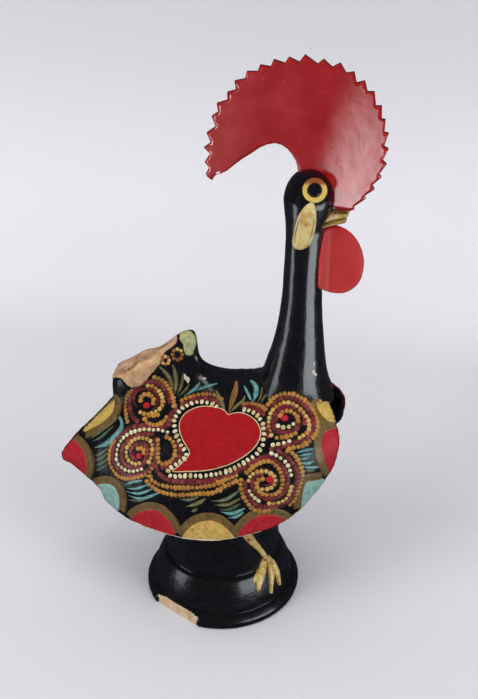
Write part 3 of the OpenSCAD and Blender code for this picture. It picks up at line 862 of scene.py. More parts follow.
COMB = pairs(212.1, 180.4, 207.4, 177, 205.7, 173.5, 208.9, 167.6, 204.5, 162, 209.7, 153.6, 203.8, 147.6,
    210.7, 142.9, 206.4, 132.9, 215.6, 126.8, 211.5, 116.3, 218.1, 112.2, 216.6, 103.6, 227.4, 100.4,
    227, 92.5, 235.8, 90.1, 234.4, 81.2, 244.9, 79.1, 246.6, 71.7, 257.4, 71.9, 259.7, 65.3, 270.4, 67.1,
    273.3, 59.9, 284.4, 63.5, 288.6, 57.4, 299, 62.4, 304.6, 55.1, 317.3, 64.3, 323.5, 59.6, 332, 67.5,
    340.3, 63.4, 346, 73.5, 354.3, 72.3, 356.4, 83.4, 364.9, 81.2, 367.3, 92.1, 374.5, 92.3, 375.8, 106.4,
    382, 106.5, 381.6, 119.5, 385.6, 120.2, 384.4, 132.9, 388.8, 133.9, 384.2, 147.2, 388.5, 149.5,
    382.9, 161.2, 386.5, 164.8, 379, 174.7, 381.4, 177.6, 372, 185.6, 374.4, 189.7, 364.8, 195.9,
    365.5, 199.2, 353.6, 206.9, 354.3, 209.7, 349.5, 211.3, 337.1, 209.7, 330.4, 205.2, 320.7, 193.7,
    314, 186, 307.3, 181.2, 301.1, 176.3, 298.4, 173, 297.6, 168, 295.9, 161.2, 292.1, 154.6, 287.5, 148.9,
    281.6, 145, 275.3, 143.1, 267.6, 144.4, 259.9, 147.6, 251, 153.6, 242.1, 159.1, 234.4, 164.8,
    227.4, 170.5, 221, 173.7, 216.8, 174.7, 214.3, 176.5)
WATTLE = pairs(316, 279.6, 317.4, 287.2, 322.7, 290.6, 331.3, 293.5, 341.8, 294.1, 350.4, 291.1,
    358.1, 284.4, 362.4, 274.8, 363.8, 263.3, 362.4, 253.8, 358.6, 244.2, 353.3, 236.5, 345.7, 230.3,
    338, 227, 331.3, 226.3, 325.6, 227.7, 322.2, 231.7, 320.3, 239.4, 318.9, 248, 317.7, 257.6,
    316.8, 269.1)
UPPER_BEAK = pairs(319.1, 222.9, 320.3, 220.3, 322.7, 217.9, 326.5, 214.5, 332.3, 211.4, 336.6, 209.2,
    343.3, 209.2, 349.5, 210.7, 348.1, 216, 346.6, 218.4, 339.9, 219.9, 334.2, 221.2, 326.5, 223.3)
LOWER_BEAK = pairs(319.5, 223.5, 326.5, 222.9, 334.2, 221.3, 340.9, 219.9, 346.4, 218.5, 345.5, 223.3,
    340.9, 224.9, 334.2, 226, 328.4, 227.2, 323.2, 228.1, 320.6, 226.5)
LOBE = pairs(311.2, 203.2, 307.2, 204.2, 302.1, 209.7, 298.3, 216.4, 295.9, 225.1, 293.7, 234.6,
    292.8, 241.3, 294, 246.6, 297.8, 249.2, 301.7, 249.4, 306, 247.5, 309.8, 244.2, 312.7, 238,
    314.6, 230.8, 316, 222.2, 316.2, 213.6, 315.2, 205.9)
BEND_X, BEND_Z, BEND_SLANT, BEND_RUN, BEND_TURN = 56, 340, 0.25, 20, -0.24


def comb_bend(x, z):
    """The front part of the comb leans a little towards the near side."""
    over = np.maximum(x - BEND_X - BEND_SLANT * (z - BEND_Z), 0)
    return BEND_TURN * over**2 / (over + BEND_RUN)


def unbent(x, z):
    return 0 * x


def comb_half(x, z):
    return 1.5 + 0 * x


def wattle_half(x, z):
    return 3.0 + 7.2 * ease((74.5 - x) / 9.5)


def beak_half(x, z):
    return 3.4 + 11.4 * ease((79 - x) / 20) ** 0.9


def plate_piece(name, outline, half, step, soft, rounding, slot, materials, node, bend=unbent):
    obj, sides = plate(name, outline, half, step, soft, rounding, bend)
    piece(obj, slot, materials, node)
    if len(materials) > 1:
        for poly in obj.data.polygons[-sides:]:
            poly.material_index = 1
            poly.use_smooth = False
    return obj


comb = plate_piece(
    "comb_plate", COMB, comb_half, 1.7, False, 0, "red_enamel", [RED, RED_EDGE], "comb", comb_bend)
plate_piece("wattle_lobe", WATTLE, wattle_half, 1.0, True, 2.0, "red_enamel", [RED_WATTLE], "wattle")
beak = plate_piece(
    "beak_upper", UPPER_BEAK, beak_half, 0.6, True, 2.6, "ochre_paint", [BEAK_TOP], "upper_beak")
plate_piece("beak_lower", LOWER_BEAK, beak_half, 0.6, True, 2.0, "ochre_paint", [BEAK_LOW], "lower_beak")
for side in ("right", "left"):
    clay_piece(f"eye_{side}", f"{side}_eye", "ochre_paint", EYE_RING)
    clay_piece(f"pupil_{side}", f"{side}_pupil", "black_paint", PUPIL)


# ------------------------------------------------------------------ painted decoration
# The outlines below are places in the camera's picture, in pixels of a 478 by 699 frame.
# Each is dropped from the camera onto the near side of the bird. What isn't marked NEAR is mirrored too.
HEART = pairs(228.3, 414.8, 222.8, 409.4, 214.9, 407.2, 206.5, 406.3, 198, 407.1, 189.5, 410.6,
    183.7, 415.1, 180.1, 421.1, 179.2, 428.2, 181, 435.4, 183.7, 441.5, 187.3, 447.5, 189.7, 452.6,
    187.7, 456.6, 183.4, 461.5, 178, 466.7, 172.5, 471.3, 185.9, 471.5, 201.6, 470.9, 212.5, 469.4,
    220.9, 467.2, 228.8, 464.6, 238.5, 459.7, 246.1, 454.8, 252.6, 449.4, 257, 444, 259.7, 438.5,
    260.8, 433.1, 259.7, 427.7, 257, 422.3, 252.6, 417.9, 247.2, 414.7, 240.7, 412.7, 234.2, 413.2)
CREAM_RING = pairs(217.4, 408.4, 214.2, 405.2, 209.8, 403, 203.3, 401.7, 197.9, 401.7, 191.9, 403.3,
    185.9, 406.1, 181.6, 408.8, 177.6, 413.6, 174.7, 419.7, 174, 425.7, 174.7, 431.8, 176.5, 436.6,
    179.2, 442.1, 182, 446.9, 185.6, 451.8, 186.5, 456, 182.2, 460.3, 176.8, 463.9, 171.3, 467.5,
    168.3, 471.2, 170.1, 475.8, 177.4, 476.3, 183.7, 476, 194.4, 476, 204.6, 475.7, 215.6, 474.6,
    222.2, 473, 228.6, 471.1, 234.8, 468, 239.6, 465.4, 244, 462.9, 248.3, 460, 252.6, 457, 257.5, 452.9,
    260.4, 448.5, 262.6, 444.2, 263.5, 439.6, 264.1, 434.8, 264, 430.4, 263.3, 426.1, 261.9, 421.7,
    259.7, 418.2, 256.4, 414.7, 252.6, 412.2, 248.3, 410.8, 241.8, 409.3)
# Rows of dabs: R maroon on a maroon stroke, O orange, M mustard, Y pale, C cream. r is a stroke alone.
ROWS = [
    ("R", pairs(221.2, 404.4, 215.8, 400.6, 209.3, 398.6, 201.7, 397.9, 193, 399, 186.5, 401.7,
        180, 405.5)),
    ("O", pairs(223.4, 400.6, 216.9, 395.7, 209.3, 394.1, 201.7, 394.1, 193, 395.7, 186.5, 397.9,
        180, 401.7)),
    ("R", pairs(177.4, 407.6, 171.9, 413.6, 169.5, 419.7, 169.5, 426.9)),
    ("R", pairs(240.7, 406.6, 247.2, 406.6, 254.8, 408.2, 260.2, 411.4, 265.1, 415.8)),
    ("O", pairs(241.8, 404.1, 249.4, 403.3, 257, 404.4, 262.4, 407.1, 266.7, 410.4)),
    ("R", pairs(266.7, 421.2, 268, 426.6, 268.4, 433.1, 268, 438.5)),
    ("R", pairs(155.3, 464.5, 158, 471.8, 164.1, 478.1, 173.8, 481.2, 185.9, 481.7, 200.4, 481.7,
        212.5, 480.3, 224.6, 476.9, 236.8, 472.4)),
    ("R", pairs(223.4, 478.1, 232, 474.3, 240.7, 469.4, 249.4, 464, 258.1, 459.7, 266.7, 456.4,
        274.3, 460.2)),
    ("M", pairs(148.3, 474.2, 151.9, 480.3, 158, 484.1, 166.5, 486.6, 176.2, 487.8, 188.3, 487.8,
        200.4, 487.3, 212.5, 485.3, 224.6, 482.1)),
    ("M", pairs(215.8, 482.5, 223.4, 480.3, 231, 477.6, 238, 474.3)),
    ("M", pairs(145.3, 479.6, 150.7, 485.7, 158, 490.6, 167.7, 493.8, 178.6, 495.3, 188.3, 494.6,
        200.4, 493.8, 211.3, 493, 222.2, 489.9)),
    ("M", pairs(215.8, 490.6, 223.4, 487.3, 231, 483.5, 238.5, 480.3)),
    ("M", pairs(174.4, 407.6, 173.1, 397.9, 169.5, 389.4, 164.1, 382.1, 158, 378.1, 152.5, 377)),
    ("O", pairs(133.2, 389.4, 127.7, 395.4, 125.3, 403.9, 125.9, 413.6, 127.7, 423.3)),
    ("R", pairs(170.7, 403.9, 168.9, 396.6, 164.7, 389.4, 159.2, 384.2, 151.9, 382.1, 144.7, 383.3,
        138.6, 386.7, 133.2, 392.4, 129.9, 400.3, 129.9, 408.8, 132.6, 416.6, 138.6, 422.1)),
    ("Y", pairs(145.9, 385.1, 153.2, 386.6, 158.8, 391, 162.2, 396.6, 162.8, 402.7, 159.8, 408.8,
        153.2, 412.6, 145.3, 413.9, 138.6, 411.2)),
    ("r", pairs(137.4, 407.6, 134, 401.5, 135.2, 394.2, 141, 389.6, 148.3, 389, 155.6, 392.4, 158.2, 398.5,
        156.8, 405.1, 151.9, 409.4)),
    ("M", pairs(140.4, 402.7, 141.3, 396.6, 146.1, 393.9, 151.6, 395.7, 154, 400.5, 152.2, 405.1)),
    ("M", pairs(144.1, 417.2, 147.1, 422.7, 154.4, 425.1, 162.2, 422.7, 167.7, 415.4)),
    ("M", pairs(147.7, 414.8, 153.8, 415.5, 159.8, 414.8)),
    ("R", pairs(138.6, 425.1, 147.1, 426.9, 155.6, 428.2, 164.1, 426.9, 170.1, 422.1)),
    ("C", pairs(170.1, 432.4, 164.7, 431.5, 160.4, 429.8, 153.8, 429.6, 147.7, 429.6, 142.2, 429.6,
        135.9, 430.8, 129.2, 433.7, 123.1, 438.1, 118.9, 444.1, 117, 451.2, 116.3, 457.8, 117.5, 462.9,
        121, 467.2, 125.5, 470.1, 131.3, 471.3, 137.6, 470.6, 143.5, 468.1)),
    ("Y", pairs(147.7, 463.9, 150.7, 458.2, 152.2, 451.2, 151.9, 444.5, 148.9, 439.7, 142.5, 437.8,
        135.9, 438.7, 130.4, 442.7, 126.7, 448.8, 126.3, 455.1, 129.2, 460.9, 135, 464, 141.3, 462.6)),
    ("R", pairs(155.6, 425.5, 142.2, 425.5, 132.6, 427.2, 124.1, 431.8, 117, 438.8, 113.4, 446.3,
        112.2, 454.8, 113.4, 462.3, 118, 469.4, 124.3, 474.4, 132.6, 475.8, 142.2, 474, 149.5, 469.4,
        155.1, 462.1, 155.3, 453.6, 155.3, 445.1, 155.8, 436.6)),
    ("R", pairs(154.4, 434.5, 144.7, 433.8, 135, 435.7, 127.7, 440.5, 123.1, 446.6, 121.4, 454.8,
        123.1, 462.1, 128.9, 466.7, 136.4, 467.4, 143.2, 463.9, 146.8, 457.2, 147.6, 450, 144.7, 444.5,
        138.6, 443.3, 133.8, 445.7, 130.7, 451.2, 132.6, 457.2, 138.6, 460.3)),
    ("M", pairs(115.6, 439.1, 111, 446.3, 109, 456, 109.8, 463.3, 113.4, 470.8, 119.2, 477, 127.7, 478.7,
        135, 477.5, 142.2, 476, 147.1, 474.2)),
    ("M", pairs(136.2, 449.4, 140.4, 447.8, 144.4, 451.2, 142.5, 454.8)),
    ("M", pairs(158, 437.8, 158, 445.1, 158, 452.4, 157.8, 458.4, 159.5, 463.3, 165.3, 463.7, 171.3, 460.6,
        175, 453.6, 174.7, 446.3, 171.3, 439.7, 164.7, 436)),
    ("R", pairs(177.4, 442.7, 179.8, 449.4, 179.8, 456, 174.4, 461.5, 167.7, 466.3, 160.4, 468.1)),
    ("O", pairs(151.9, 478.4, 149.8, 472, 153.4, 466.7)),
    ("M", pairs(266.7, 406, 272.2, 399.5, 278.7, 395.4, 286.3, 393.8, 293.8, 394.3, 300.3, 397.3,
        306.8, 401.7, 312.8, 408.7, 316.6, 416.9, 318.2, 425.5, 316.1, 433.1, 310.6, 439.6, 303.6, 445.1,
        294.9, 447.4, 287.3, 449.6)),
    ("R", pairs(270, 408.2, 273.2, 404.1, 279.7, 399.3, 287.3, 397.6, 294.9, 399.1, 301.4, 402.4,
        307.9, 408.4, 312.5, 415.8, 313.9, 424.5, 311.7, 432, 305.8, 437.5, 298.2, 441.5, 288.4, 444.2,
        277.6, 447.8, 268.9, 449.6)),
    ("Y", pairs(272.2, 437.1, 269.1, 429.9, 268.4, 421.7, 270.9, 413.1, 276.5, 406.3, 284.1, 402.6,
        291.7, 403.6, 297.6, 406.9, 302.7, 411.7, 307.1, 417.9, 309.6, 425.5, 307.7, 432, 302.5, 436.4,
        297.3, 438.8)),
    ("C", pairs(292.2, 440.4, 286.8, 442.1, 280.8, 443.6, 275.4, 444.8, 270, 445.1)),
    ("M", pairs(274.3, 437.5, 280.8, 437.5, 287.3, 436.4, 293.3, 434.5, 297.1, 431)),
    ("R", pairs(304.1, 425.5, 304.7, 417.9, 300.9, 411.7, 294.9, 407.6, 287.3, 406.7, 279.7, 409.1,
        275.2, 414.7, 273.2, 422.3, 275.4, 428.8, 280.8, 432.3, 288.4, 432.3, 297.1, 427.7, 299.3, 422.3)),
    ("C", pairs(276, 424.2, 278.3, 426, 282.6, 427.2, 288.4, 426.7, 292.8, 425.1, 294.4, 421.6)),
    ("r", pairs(278.1, 421.7, 277, 415.8, 281, 410.9, 286.8, 409.1)),
    ("M", pairs(280.3, 417.9, 281.4, 412.7, 286.5, 410.7, 292.5, 411.7, 297.4, 416.9, 298.5, 423.4)),
    ("M", pairs(286.3, 449.4, 292.8, 453.7, 297.6, 459.1, 300.6, 465.7, 302.5, 473.2, 302, 480.8,
        299.3, 488.4, 297.1, 494.9, 293.8, 501.4, 288.4, 506.3)),
    ("M", pairs(241.8, 477.6, 240.7, 485.2, 242, 492.8, 245.1, 499.3, 249.6, 505.8, 254.8, 510.1,
        262.4, 511.7, 271.1, 510.1)),
    ("R", pairs(277.6, 450.5, 284.1, 454.8, 289.5, 459.4, 294.1, 465.7, 297.1, 473.2, 297.3, 481.9,
        295.1, 489.5, 291.7, 497.1, 286.3, 502.5, 278.7, 505.8, 270, 506.8, 260.2, 506.3, 252.6, 502.5,
        247.2, 496, 244.7, 488.4, 245.1, 480.8)),
    ("C", pairs(268.9, 452.6, 275.4, 454.8, 280.8, 458.1, 286.3, 462.9, 290, 470, 291.7, 477.6)),
    ("Y", pairs(291.7, 485.2, 289.5, 493.8, 284.1, 500.3, 276.5, 503.1, 266.7, 503.6)),
    ("C", pairs(260.2, 502.3, 257, 499.8, 253.2, 496.6, 250.3, 493.3, 248.5, 489)),
    ("Y", pairs(248.3, 483, 250.5, 476.5, 255.9, 472.4, 263.5, 471.1, 269.1, 472.4, 273.5, 476,
        275.4, 480.8, 273.8, 485.2, 270, 488.2, 264.6, 489.5, 260.2, 488.4)),
    ("R", pairs(253.7, 465.7, 260.2, 458.9, 266.7, 457.2, 274.3, 460.4, 280.8, 465.7, 285.4, 472.2,
        286.9, 480.8, 285.2, 489.5, 279.7, 496, 272.2, 498.8, 263.5, 497.7, 257, 493.8, 252.9, 487.3,
        252.9, 480.8, 257.2, 475.6, 263.5, 474.3)),
    ("M", pairs(245.1, 474.3, 249.6, 470, 255.9, 464.8, 263.5, 461.5, 271.1, 461.5, 276.7, 465.7,
        280.8, 472.2, 282.6, 479.7, 281.9, 487.3, 277.6, 493, 271.1, 495.1, 263.5, 494.1, 258.3, 489.7,
        256.7, 483.5, 260.2, 478.9, 265.1, 479.2)),
    ("r", pairs(262.4, 484.1, 266.7, 485.7, 272.2, 484.1, 277.6, 484.1)),
]
# middles and radii, here and in ROSETTES
RED_DOTS = [((146.5, 405.4), 2.9), ((138.9, 456), 2.7), ((284.6, 417.9), 2.9), ((270.5, 479.7), 3.3)]
BLACK_DROPS = [
    pairs(162.8, 439.1, 167.1, 442.7, 170.7, 448.8, 170.4, 454.8, 166.5, 459.2, 161.6, 458.4, 160.9, 451.2,
        163.5, 445.1),
    pairs(148.9, 419.4, 151.9, 417.7, 158, 418.2, 162.2, 418.2, 159.8, 420.3, 154.4, 421.1),
]
# colour, width in mm and line of each leaf
LEAVES = [
    ("brown", 4.2, pairs(228.2, 414.5, 232, 401.7, 235.5, 389.8, 236.4, 380.5)),
    ("olive", 3.4, pairs(226.1, 413.1, 221.7, 402.8, 217.9, 394.1, 215.8, 389.8)),
    ("olive", 2.8, pairs(229.3, 413.8, 236.4, 406, 242.9, 400.6, 245.1, 395.2)),
    ("teal", 3.8, pairs(252.4, 403.3, 255.9, 394.1, 255.9, 386.5, 250.5, 380)),
    ("teal", 2.2, pairs(252.1, 402.2, 248.3, 394.1, 244, 385.4)),
    ("olive", 1.7, pairs(257.5, 403.3, 260.8, 396.3, 262.4, 386.5)),
    ("olive", 1.5, pairs(260.8, 403.9, 264, 397.3, 266.7, 394.1)),
    ("olive", 3.2, pairs(173.1, 393, 170.1, 379.7, 164.7, 371.8, 159.2, 366.4)),
    ("olive", 3.2, pairs(175, 394.8, 176.2, 380.9, 174.4, 370, 172.5, 364.5)),
    ("olive", 2.2, pairs(176.5, 396, 181.6, 384.5, 183.4, 372.4)),
    ("olive", 1.8, pairs(178, 397.3, 185.9, 389.4, 189.5, 383.3)),
    ("teal", 2.6, pairs(183.4, 396.4, 190.7, 392, 195.6, 388.2, 200.4, 382.1)),
    ("teal", 2.2, pairs(193.1, 391.6, 205.3, 387, 218, 383.3)),
    ("teal", 5, pairs(94.4, 447.8, 107.1, 443.3, 118, 433, 121.9, 424.5, 119.2, 416.6)),
    ("green", 2.2, pairs(91.4, 441.5, 99.8, 437.8, 108.3, 430.6, 113.8, 425.7)),
    ("green", 2, pairs(90.1, 439.1, 98.6, 433, 107.1, 426.9)),
    ("green", 2.2, pairs(94.4, 456, 101, 453.6, 108.3, 447.5)),
    ("green", 2.2, pairs(94.4, 460.9, 101, 458.4, 108.3, 452.4)),
    ("green", 2.2, pairs(95, 465.7, 101.7, 463.3, 107.7, 458.4)),
    ("green", 2, pairs(95, 471.2, 101.7, 468.1, 107.7, 463.9)),
    ("teal", 2.4, pairs(124.3, 485.3, 132.6, 482.1, 142.9, 480.6)),
    ("teal", 2.2, pairs(126.5, 488.1, 136.2, 488.7, 148.3, 484.5)),
    ("teal", 2.4, pairs(125.9, 491.2, 138.6, 493.6, 153.2, 488.7)),
    ("teal", 2.6, pairs(127.7, 495, 142.2, 498.7, 159.8, 492.4)),
    ("green", 2.2, pairs(127.7, 499.6, 137.4, 500.9, 144.7, 500.2)),
    ("green", 2.6, pairs(180, 499.3, 189.8, 499.8, 199, 496.6)),
    ("olive", 3, pairs(185.4, 506.8, 197.3, 503.6, 206, 498.2)),
    ("green", 2.6, pairs(190.8, 511.7, 195.2, 510.1, 197.3, 507.9)),
    ("green", 2.8, pairs(210.4, 500.9, 223.4, 500.3, 232, 496, 240.7, 489.5)),
    ("olive", 2.6, pairs(213.6, 504.7, 227.7, 504.7, 240.7, 498.2)),
    ("green", 2.4, pairs(219, 509, 228.8, 509.6, 240.7, 503.6)),
    ("teal", 2.8, pairs(220.1, 511.4, 232, 513.6, 245.6, 507.9)),
    ("teal", 2.6, pairs(227.7, 517.7, 236.4, 516.8, 244, 511.7)),
    ("teal", 2, pairs(294.9, 453.9, 302.5, 451, 314.4, 448.5)),
    ("teal", 1.8, pairs(296.6, 456.4, 304.7, 454.8, 313.9, 453.7)),
    ("teal", 2, pairs(297.1, 459.7, 304.7, 458.6, 311.2, 456.4)),
    ("teal", 2.2, pairs(299.8, 462.9, 307.9, 463.5, 314.4, 460.8)),
    ("teal", 2.4, pairs(301.4, 466.2, 310.1, 467.8, 319.9, 466.5)),
    ("green", 2, pairs(303.1, 470, 310.1, 470.9, 315.5, 469.8)),
]
# colour and inner arc of each scallop along the rim
SCALLOPS = [
    ("red", pairs(72.4, 439.4, 79.1, 444.9, 84.1, 452.5, 86.8, 461.1, 86.8, 469.7, 83.7, 477.9)),
    ("teal", pairs(94.9, 486.2, 101.1, 483.7, 108.8, 483.7, 114.5, 487, 118.4, 493.7, 119.9, 501.3,
        118.8, 511.4)),
    ("red", pairs(131, 519, 136.5, 513.8, 144.2, 510.5, 151.8, 509.5, 159.5, 511.8, 166.2, 517.6,
        171.9, 525.2, 175.6, 534.3)),
    ("yellow", pairs(182.2, 537, 187.6, 529.6, 195.2, 523.3, 203.9, 520.5, 212.5, 520.5, 220.1, 523.1,
        226.6, 528.5, 232, 534, 234.8, 537.7)),
    ("red", pairs(236.4, 537.7, 241.8, 528.5, 249.4, 520.9, 258.1, 516.2, 266.7, 514.4, 275.4, 515.5,
        283, 517.7, 287.7, 521.2)),
    ("teal", pairs(300.6, 509.6, 301.6, 498.2, 303.8, 486.3, 307.4, 481.7, 315.5, 480.3, 323.7, 478.1)),
    ("red", pairs(338.8, 427.7, 331.8, 428.8, 325.3, 432, 322, 438.5, 321.5, 447.2, 323.7, 458.1,
        327.4, 467.8, 330.4, 473.2)),
    ("yellow", pairs(319.9, 394.1, 317, 399, 317, 407.1, 320.9, 414.7, 327.4, 420.7, 336.1, 423.2)),
    ("yellow", pairs(114.4, 397.6, 114.6, 405.1, 112, 413.6, 105.9, 419.7, 97.4, 425.7, 83.8, 432.5)),
]

TORSO_TREE, COMB_TREE, BEAK_TREE = (
    BVHTree.FromObject(o, bpy.context.evaluated_depsgraph_get()) for o in (torso, comb, beak))
ROOM = 2.0  # how far the camera looks for the bird, in metres


def wing_tree(nu=160, nv=40):
    """The near wing's outer surface alone."""
    grid = outer(np.linspace(0, 1, nu + 1)[:, None], np.linspace(0, 1, nv + 1)[None, :]) * (1, -1, 1)
    k = nv + 1
    corners = [i * k + j for i in range(nu) for j in range(nv)]
    faces = [(c, c + k, c + k + 1, c + 1) for c in corners]
    return BVHTree.FromPolygons([tuple(q * MM) for q in grid.reshape(-1, 3)], faces)


WING_TREE = wing_tree()


def rim_line():
    """The near wing's whole rim, from the tail's ridge round to the breast."""
    rear, front = np.linspace(station(2.6), 0, 120), np.linspace(1, station(8.6), 120)
    return np.concatenate([top_edge(rear), hem(np.linspace(0, 1, 500)), top_edge(front)]) * (1, -1, 1)


RIM_3D = rim_line()
RIM = in_picture(RIM_3D)
OFF_WING = 3.5  # mm from the wing at which a place is no longer on it


def rim_at(spot):
    """The number of the rim's point that is nearest in the picture."""
    return int(np.argmin(np.hypot(*(RIM - spot).T)))


def seen(x, y, tree=TORSO_TREE, wing=False):
    """Where the camera's ray through a picture point meets the near side, in mm."""
    where = tree.ray_cast(EYE * MM, ray_of(x, y), ROOM)[0]
    if wing and where is not None:
        on_wing = WING_TREE.find_nearest(where)[0]
        if (on_wing - where).length > OFF_WING * MM:
            where = None
    if where is None and (wing or tree is TORSO_TREE):
        return RIM_3D[rim_at((x, y))]
    if where is None:
        where = tree.find_nearest(Vector(on_plane(x, y, NEAR_PLANE)) * MM)[0]
    return np.array(where) / MM


def settle(p, lift, tree=TORSO_TREE):
    """The nearest place on the bird, raised by lift mm."""
    where, normal, _, _ = tree.find_nearest(Vector(p) * MM)
    return np.array(where) / MM + np.array(normal) * lift


def facing(p, tree=TORSO_TREE):
    return np.array(tree.find_nearest(Vector(p) * MM)[1])


def spaced(points, step, closed=False, tree=TORSO_TREE, wing=False):
    """Places on the bird and directions at even steps in mm along a curve in the picture, or in space."""
    p = np.asarray(points, float)
    if closed:
        p = np.concatenate([p, p[:1]])
    line = curve(p, np.linspace(0, 1, 14 * len(p)))
    if p.shape[1] == 2:
        line = np.array([seen(*q, tree, wing) for q in line])
    run = run_of(line)
    count = max(1, round(run[-1] / step))
    at = (np.arange(count) + 0.5) * run[-1] / count
    ahead, behind = (at_runs(line, run, s) for s in (np.minimum(at + 0.6, run[-1]), np.maximum(at - 0.6, 0)))
    return at_runs(line, run, at), np.array([unit(a) for a in ahead - behind])


NEAR, FAR, BOTH = (1,), (-1,), (1, -1)


class Heap:
    """Collects small closed solids of one colour into one piece."""

    def __init__(self, name, material, sides=BOTH):
        self.name, self.material, self.sides = name, material, sides
        self.points, self.faces = [], []

    def add(self, points, faces, sides=None):
        """Adds a solid on the near side (1) and its mirror image on the far side (-1)."""
        for side in sides or self.sides:
            n = len(self.points)
            self.points.extend((x, y * side, z) for x, y, z in points)
            self.faces.extend(tuple(i + n for i in f)[::side] for f in faces)

    def made(self):
        return mesh_object(self.name, self.points, self.faces)

    def finish(self, slot="painted_wing", *nodes):
        if self.points:
            piece(self.made(), slot, [self.material], *nodes)


def slab(heap, outline, lift, step=1.6, sink=0.4, round_off=True, wing=False, sides=None, dome=0.0):
    """A thin raised layer of paint inside a closed outline in the picture."""
    edge = np.asarray(outline, float)
    if round_off:
        edge = np.concatenate([edge, edge[:1]])
        edge = evened(curve(edge, np.linspace(0, 1, 24 * len(edge))), step, 8)[:-1]
    lo, hi = edge.min(0), edge.max(0)
    grid = [(gx, gy) for gx in np.arange(lo[0] + step / 2, hi[0], step)
            for gy in np.arange(lo[1] + step / 2, hi[1], step)
            if inside(edge, gx, gy) and np.min(np.hypot(*(edge - (gx, gy)).T)) > step * 0.6]
    v, faces = filled(edge, grid, -1)
    base = [seen(*q, wing=wing) for q in v]
    top = lift + dome * np.sqrt(np.clip(from_edge(edge, v) / 4, 0, 1))
    points = [settle(q, h) for q, h in zip(base, top)] + [settle(q, -sink) for q in base]
    heap.add(points, closed_faces(faces, len(v))[0], sides)


def stroke(heap, points, width, lift, step=1.2, sink=0.4, ends=(0.15, 0.15), wave=0.0, rand=None,
           closed=False, tree=TORSO_TREE, sides=None, wing=False):
    """A brush stroke along a curve in the picture, where width in mm is one number or several."""
    here, along = spaced(points, step, closed, tree, wing)
    n = len(here)
    if n < 3:
        return
    t = np.linspace(0, 1, n)
    width = np.atleast_1d(np.asarray(width, float))
    wide = np.interp(t, np.linspace(0, 1, len(width)), width) / 2
    wide = wide * mix(ends[0], 1, ease(t / 0.4)) * mix(ends[1], 1, ease((1 - t) / 0.4))
    if wave:
        wide = wide * (1 + wave * np.array([rand.uniform(-1, 1) for _ in range(n)]))
    rise = [(-1, lift * 0.4), (-0.72, lift * 0.85)]
    section = [(-1, -sink), *rise, (0, lift), *[(-o, h) for o, h in rise[::-1]], (1, -sink)]
    k = len(section)
    pts = []
    for p, a, w in zip(here, along, wide):
        across = unit(np.cross(facing(p, tree), a))
        pts += [settle(p + across * (o * w), h, tree) for o, h in section]
    rings = [i * k for i in range(n)] + [0] * closed
    faces = [(a, d, c, b) for lo, hi in zip(rings, rings[1:]) for a, b, c, d in quads(lo, hi, k)]
    if not closed:
        faces += [tuple(range(k)), tuple(rings[-1] + j for j in range(k))[::-1]]
    heap.add(pts, faces, sides)


# shares of a dab's radius and height, from its foot up
DAB_RINGS = [(1.0, -0.5), (1.0, 0.15), (0.8, 0.7), (0.42, 0.96)]
def dab(heap, p, along, long, wide, high, sides=None, k=9):
    """A dot of thick paint, longer one way than the other."""
    normal = facing(p)
    across = unit(np.cross(normal, along))
    along = unit(np.cross(across, normal))
    pts = []
    for r, h in DAB_RINGS:
        for a in [2 * math.pi * j / k for j in range(k)]:
            q = p + along * (long / 2 * r * math.cos(a)) + across * (wide / 2 * r * math.sin(a))
            pts.append(settle(q, high * h))
    pts.append(settle(p, high))
    last = (len(DAB_RINGS) - 1) * k
    faces = [tuple(range(k))[::-1]] + [f for lo in range(0, last, k) for f in quads(lo, lo + k, k)]
    heap.add(pts, faces + [(last + j, last + (j + 1) % k, last + k) for j in range(k)], sides)


def dabs(heaps, points, step, long, wide, high, rand, shy=0.15):
    """A row of dots, each a little askew and of its own size and colour."""
    for p, a in zip(*spaced(points, step)):
        across = unit(np.cross(facing(p), a))
        turn = rand.uniform(-0.3, 0.3)
        a = a * math.cos(turn) + across * math.sin(turn)
        p = p + a * rand.uniform(-shy, shy) + across * rand.uniform(-shy, shy)
        size = 1 + rand.uniform(-0.16, 0.14)
        heap = rand.choice(heaps)
        wide_here = wide * size * rand.uniform(0.9, 1.1)
        dab(heap, p, a, long * size, wide_here, high * rand.uniform(0.75, 1.2))


ARC_STEP = 1.4  # pixels along a scallop's outline


def rim_between(arc):
    """The stretch of the rim between the ends of a scallop's inner arc, in the picture."""
    a, b = rim_at(arc[0]), rim_at(arc[-1])
    return evened(RIM[a : b + 1] if a <= b else RIM[b : a + 1][::-1], ARC_STEP, 4)


def scallop(heap, arc, lift, sides=None):
    """A scallop between an inner arc and the rim."""
    line = evened(curve(arc, np.linspace(0, 1, 40)), ARC_STEP, 4)
    outline = np.concatenate([line[1:-1], rim_between(arc)[::-1]])
    slab(heap, outline, lift, round_off=False, wing=True, sides=sides)


# height and widths in mm and line of the shank and the toes
LEG_STROKES = [
    (3.6, [13, 12.6, 11.6, 9.8, 8.4, 7.2], pairs(238, 520, 246.8, 534.3, 250.8, 539.8, 257.6, 547.3,
        262.9, 553.9, 265.4, 561)),
    (2.6, [5.4, 7, 8.2, 7.4, 5.6], pairs(264.7, 555.7, 262, 565.8, 260.4, 574.5, 258.8, 583.1, 257.7, 591)),
    (2.6, [4.6, 4.8, 5, 4.8, 4.2], pairs(267.2, 555.7, 270.1, 567.9, 271, 577.7, 270.5, 586.4,
        270.1, 593.2)),
    (2.6, [4.2, 5, 5.2, 4.4], pairs(268, 556.7, 274, 566.9, 277.2, 575.5, 278.5, 585.1)),
    (1.4, [1.6, 1.7, 1.6, 1.4], pairs(256.4, 574, 254.2, 577.7, 253.9, 581, 254.5, 585)),
]
LEFT_LEG_TURN = 20
SIDES = {"right": NEAR, "left": FAR}


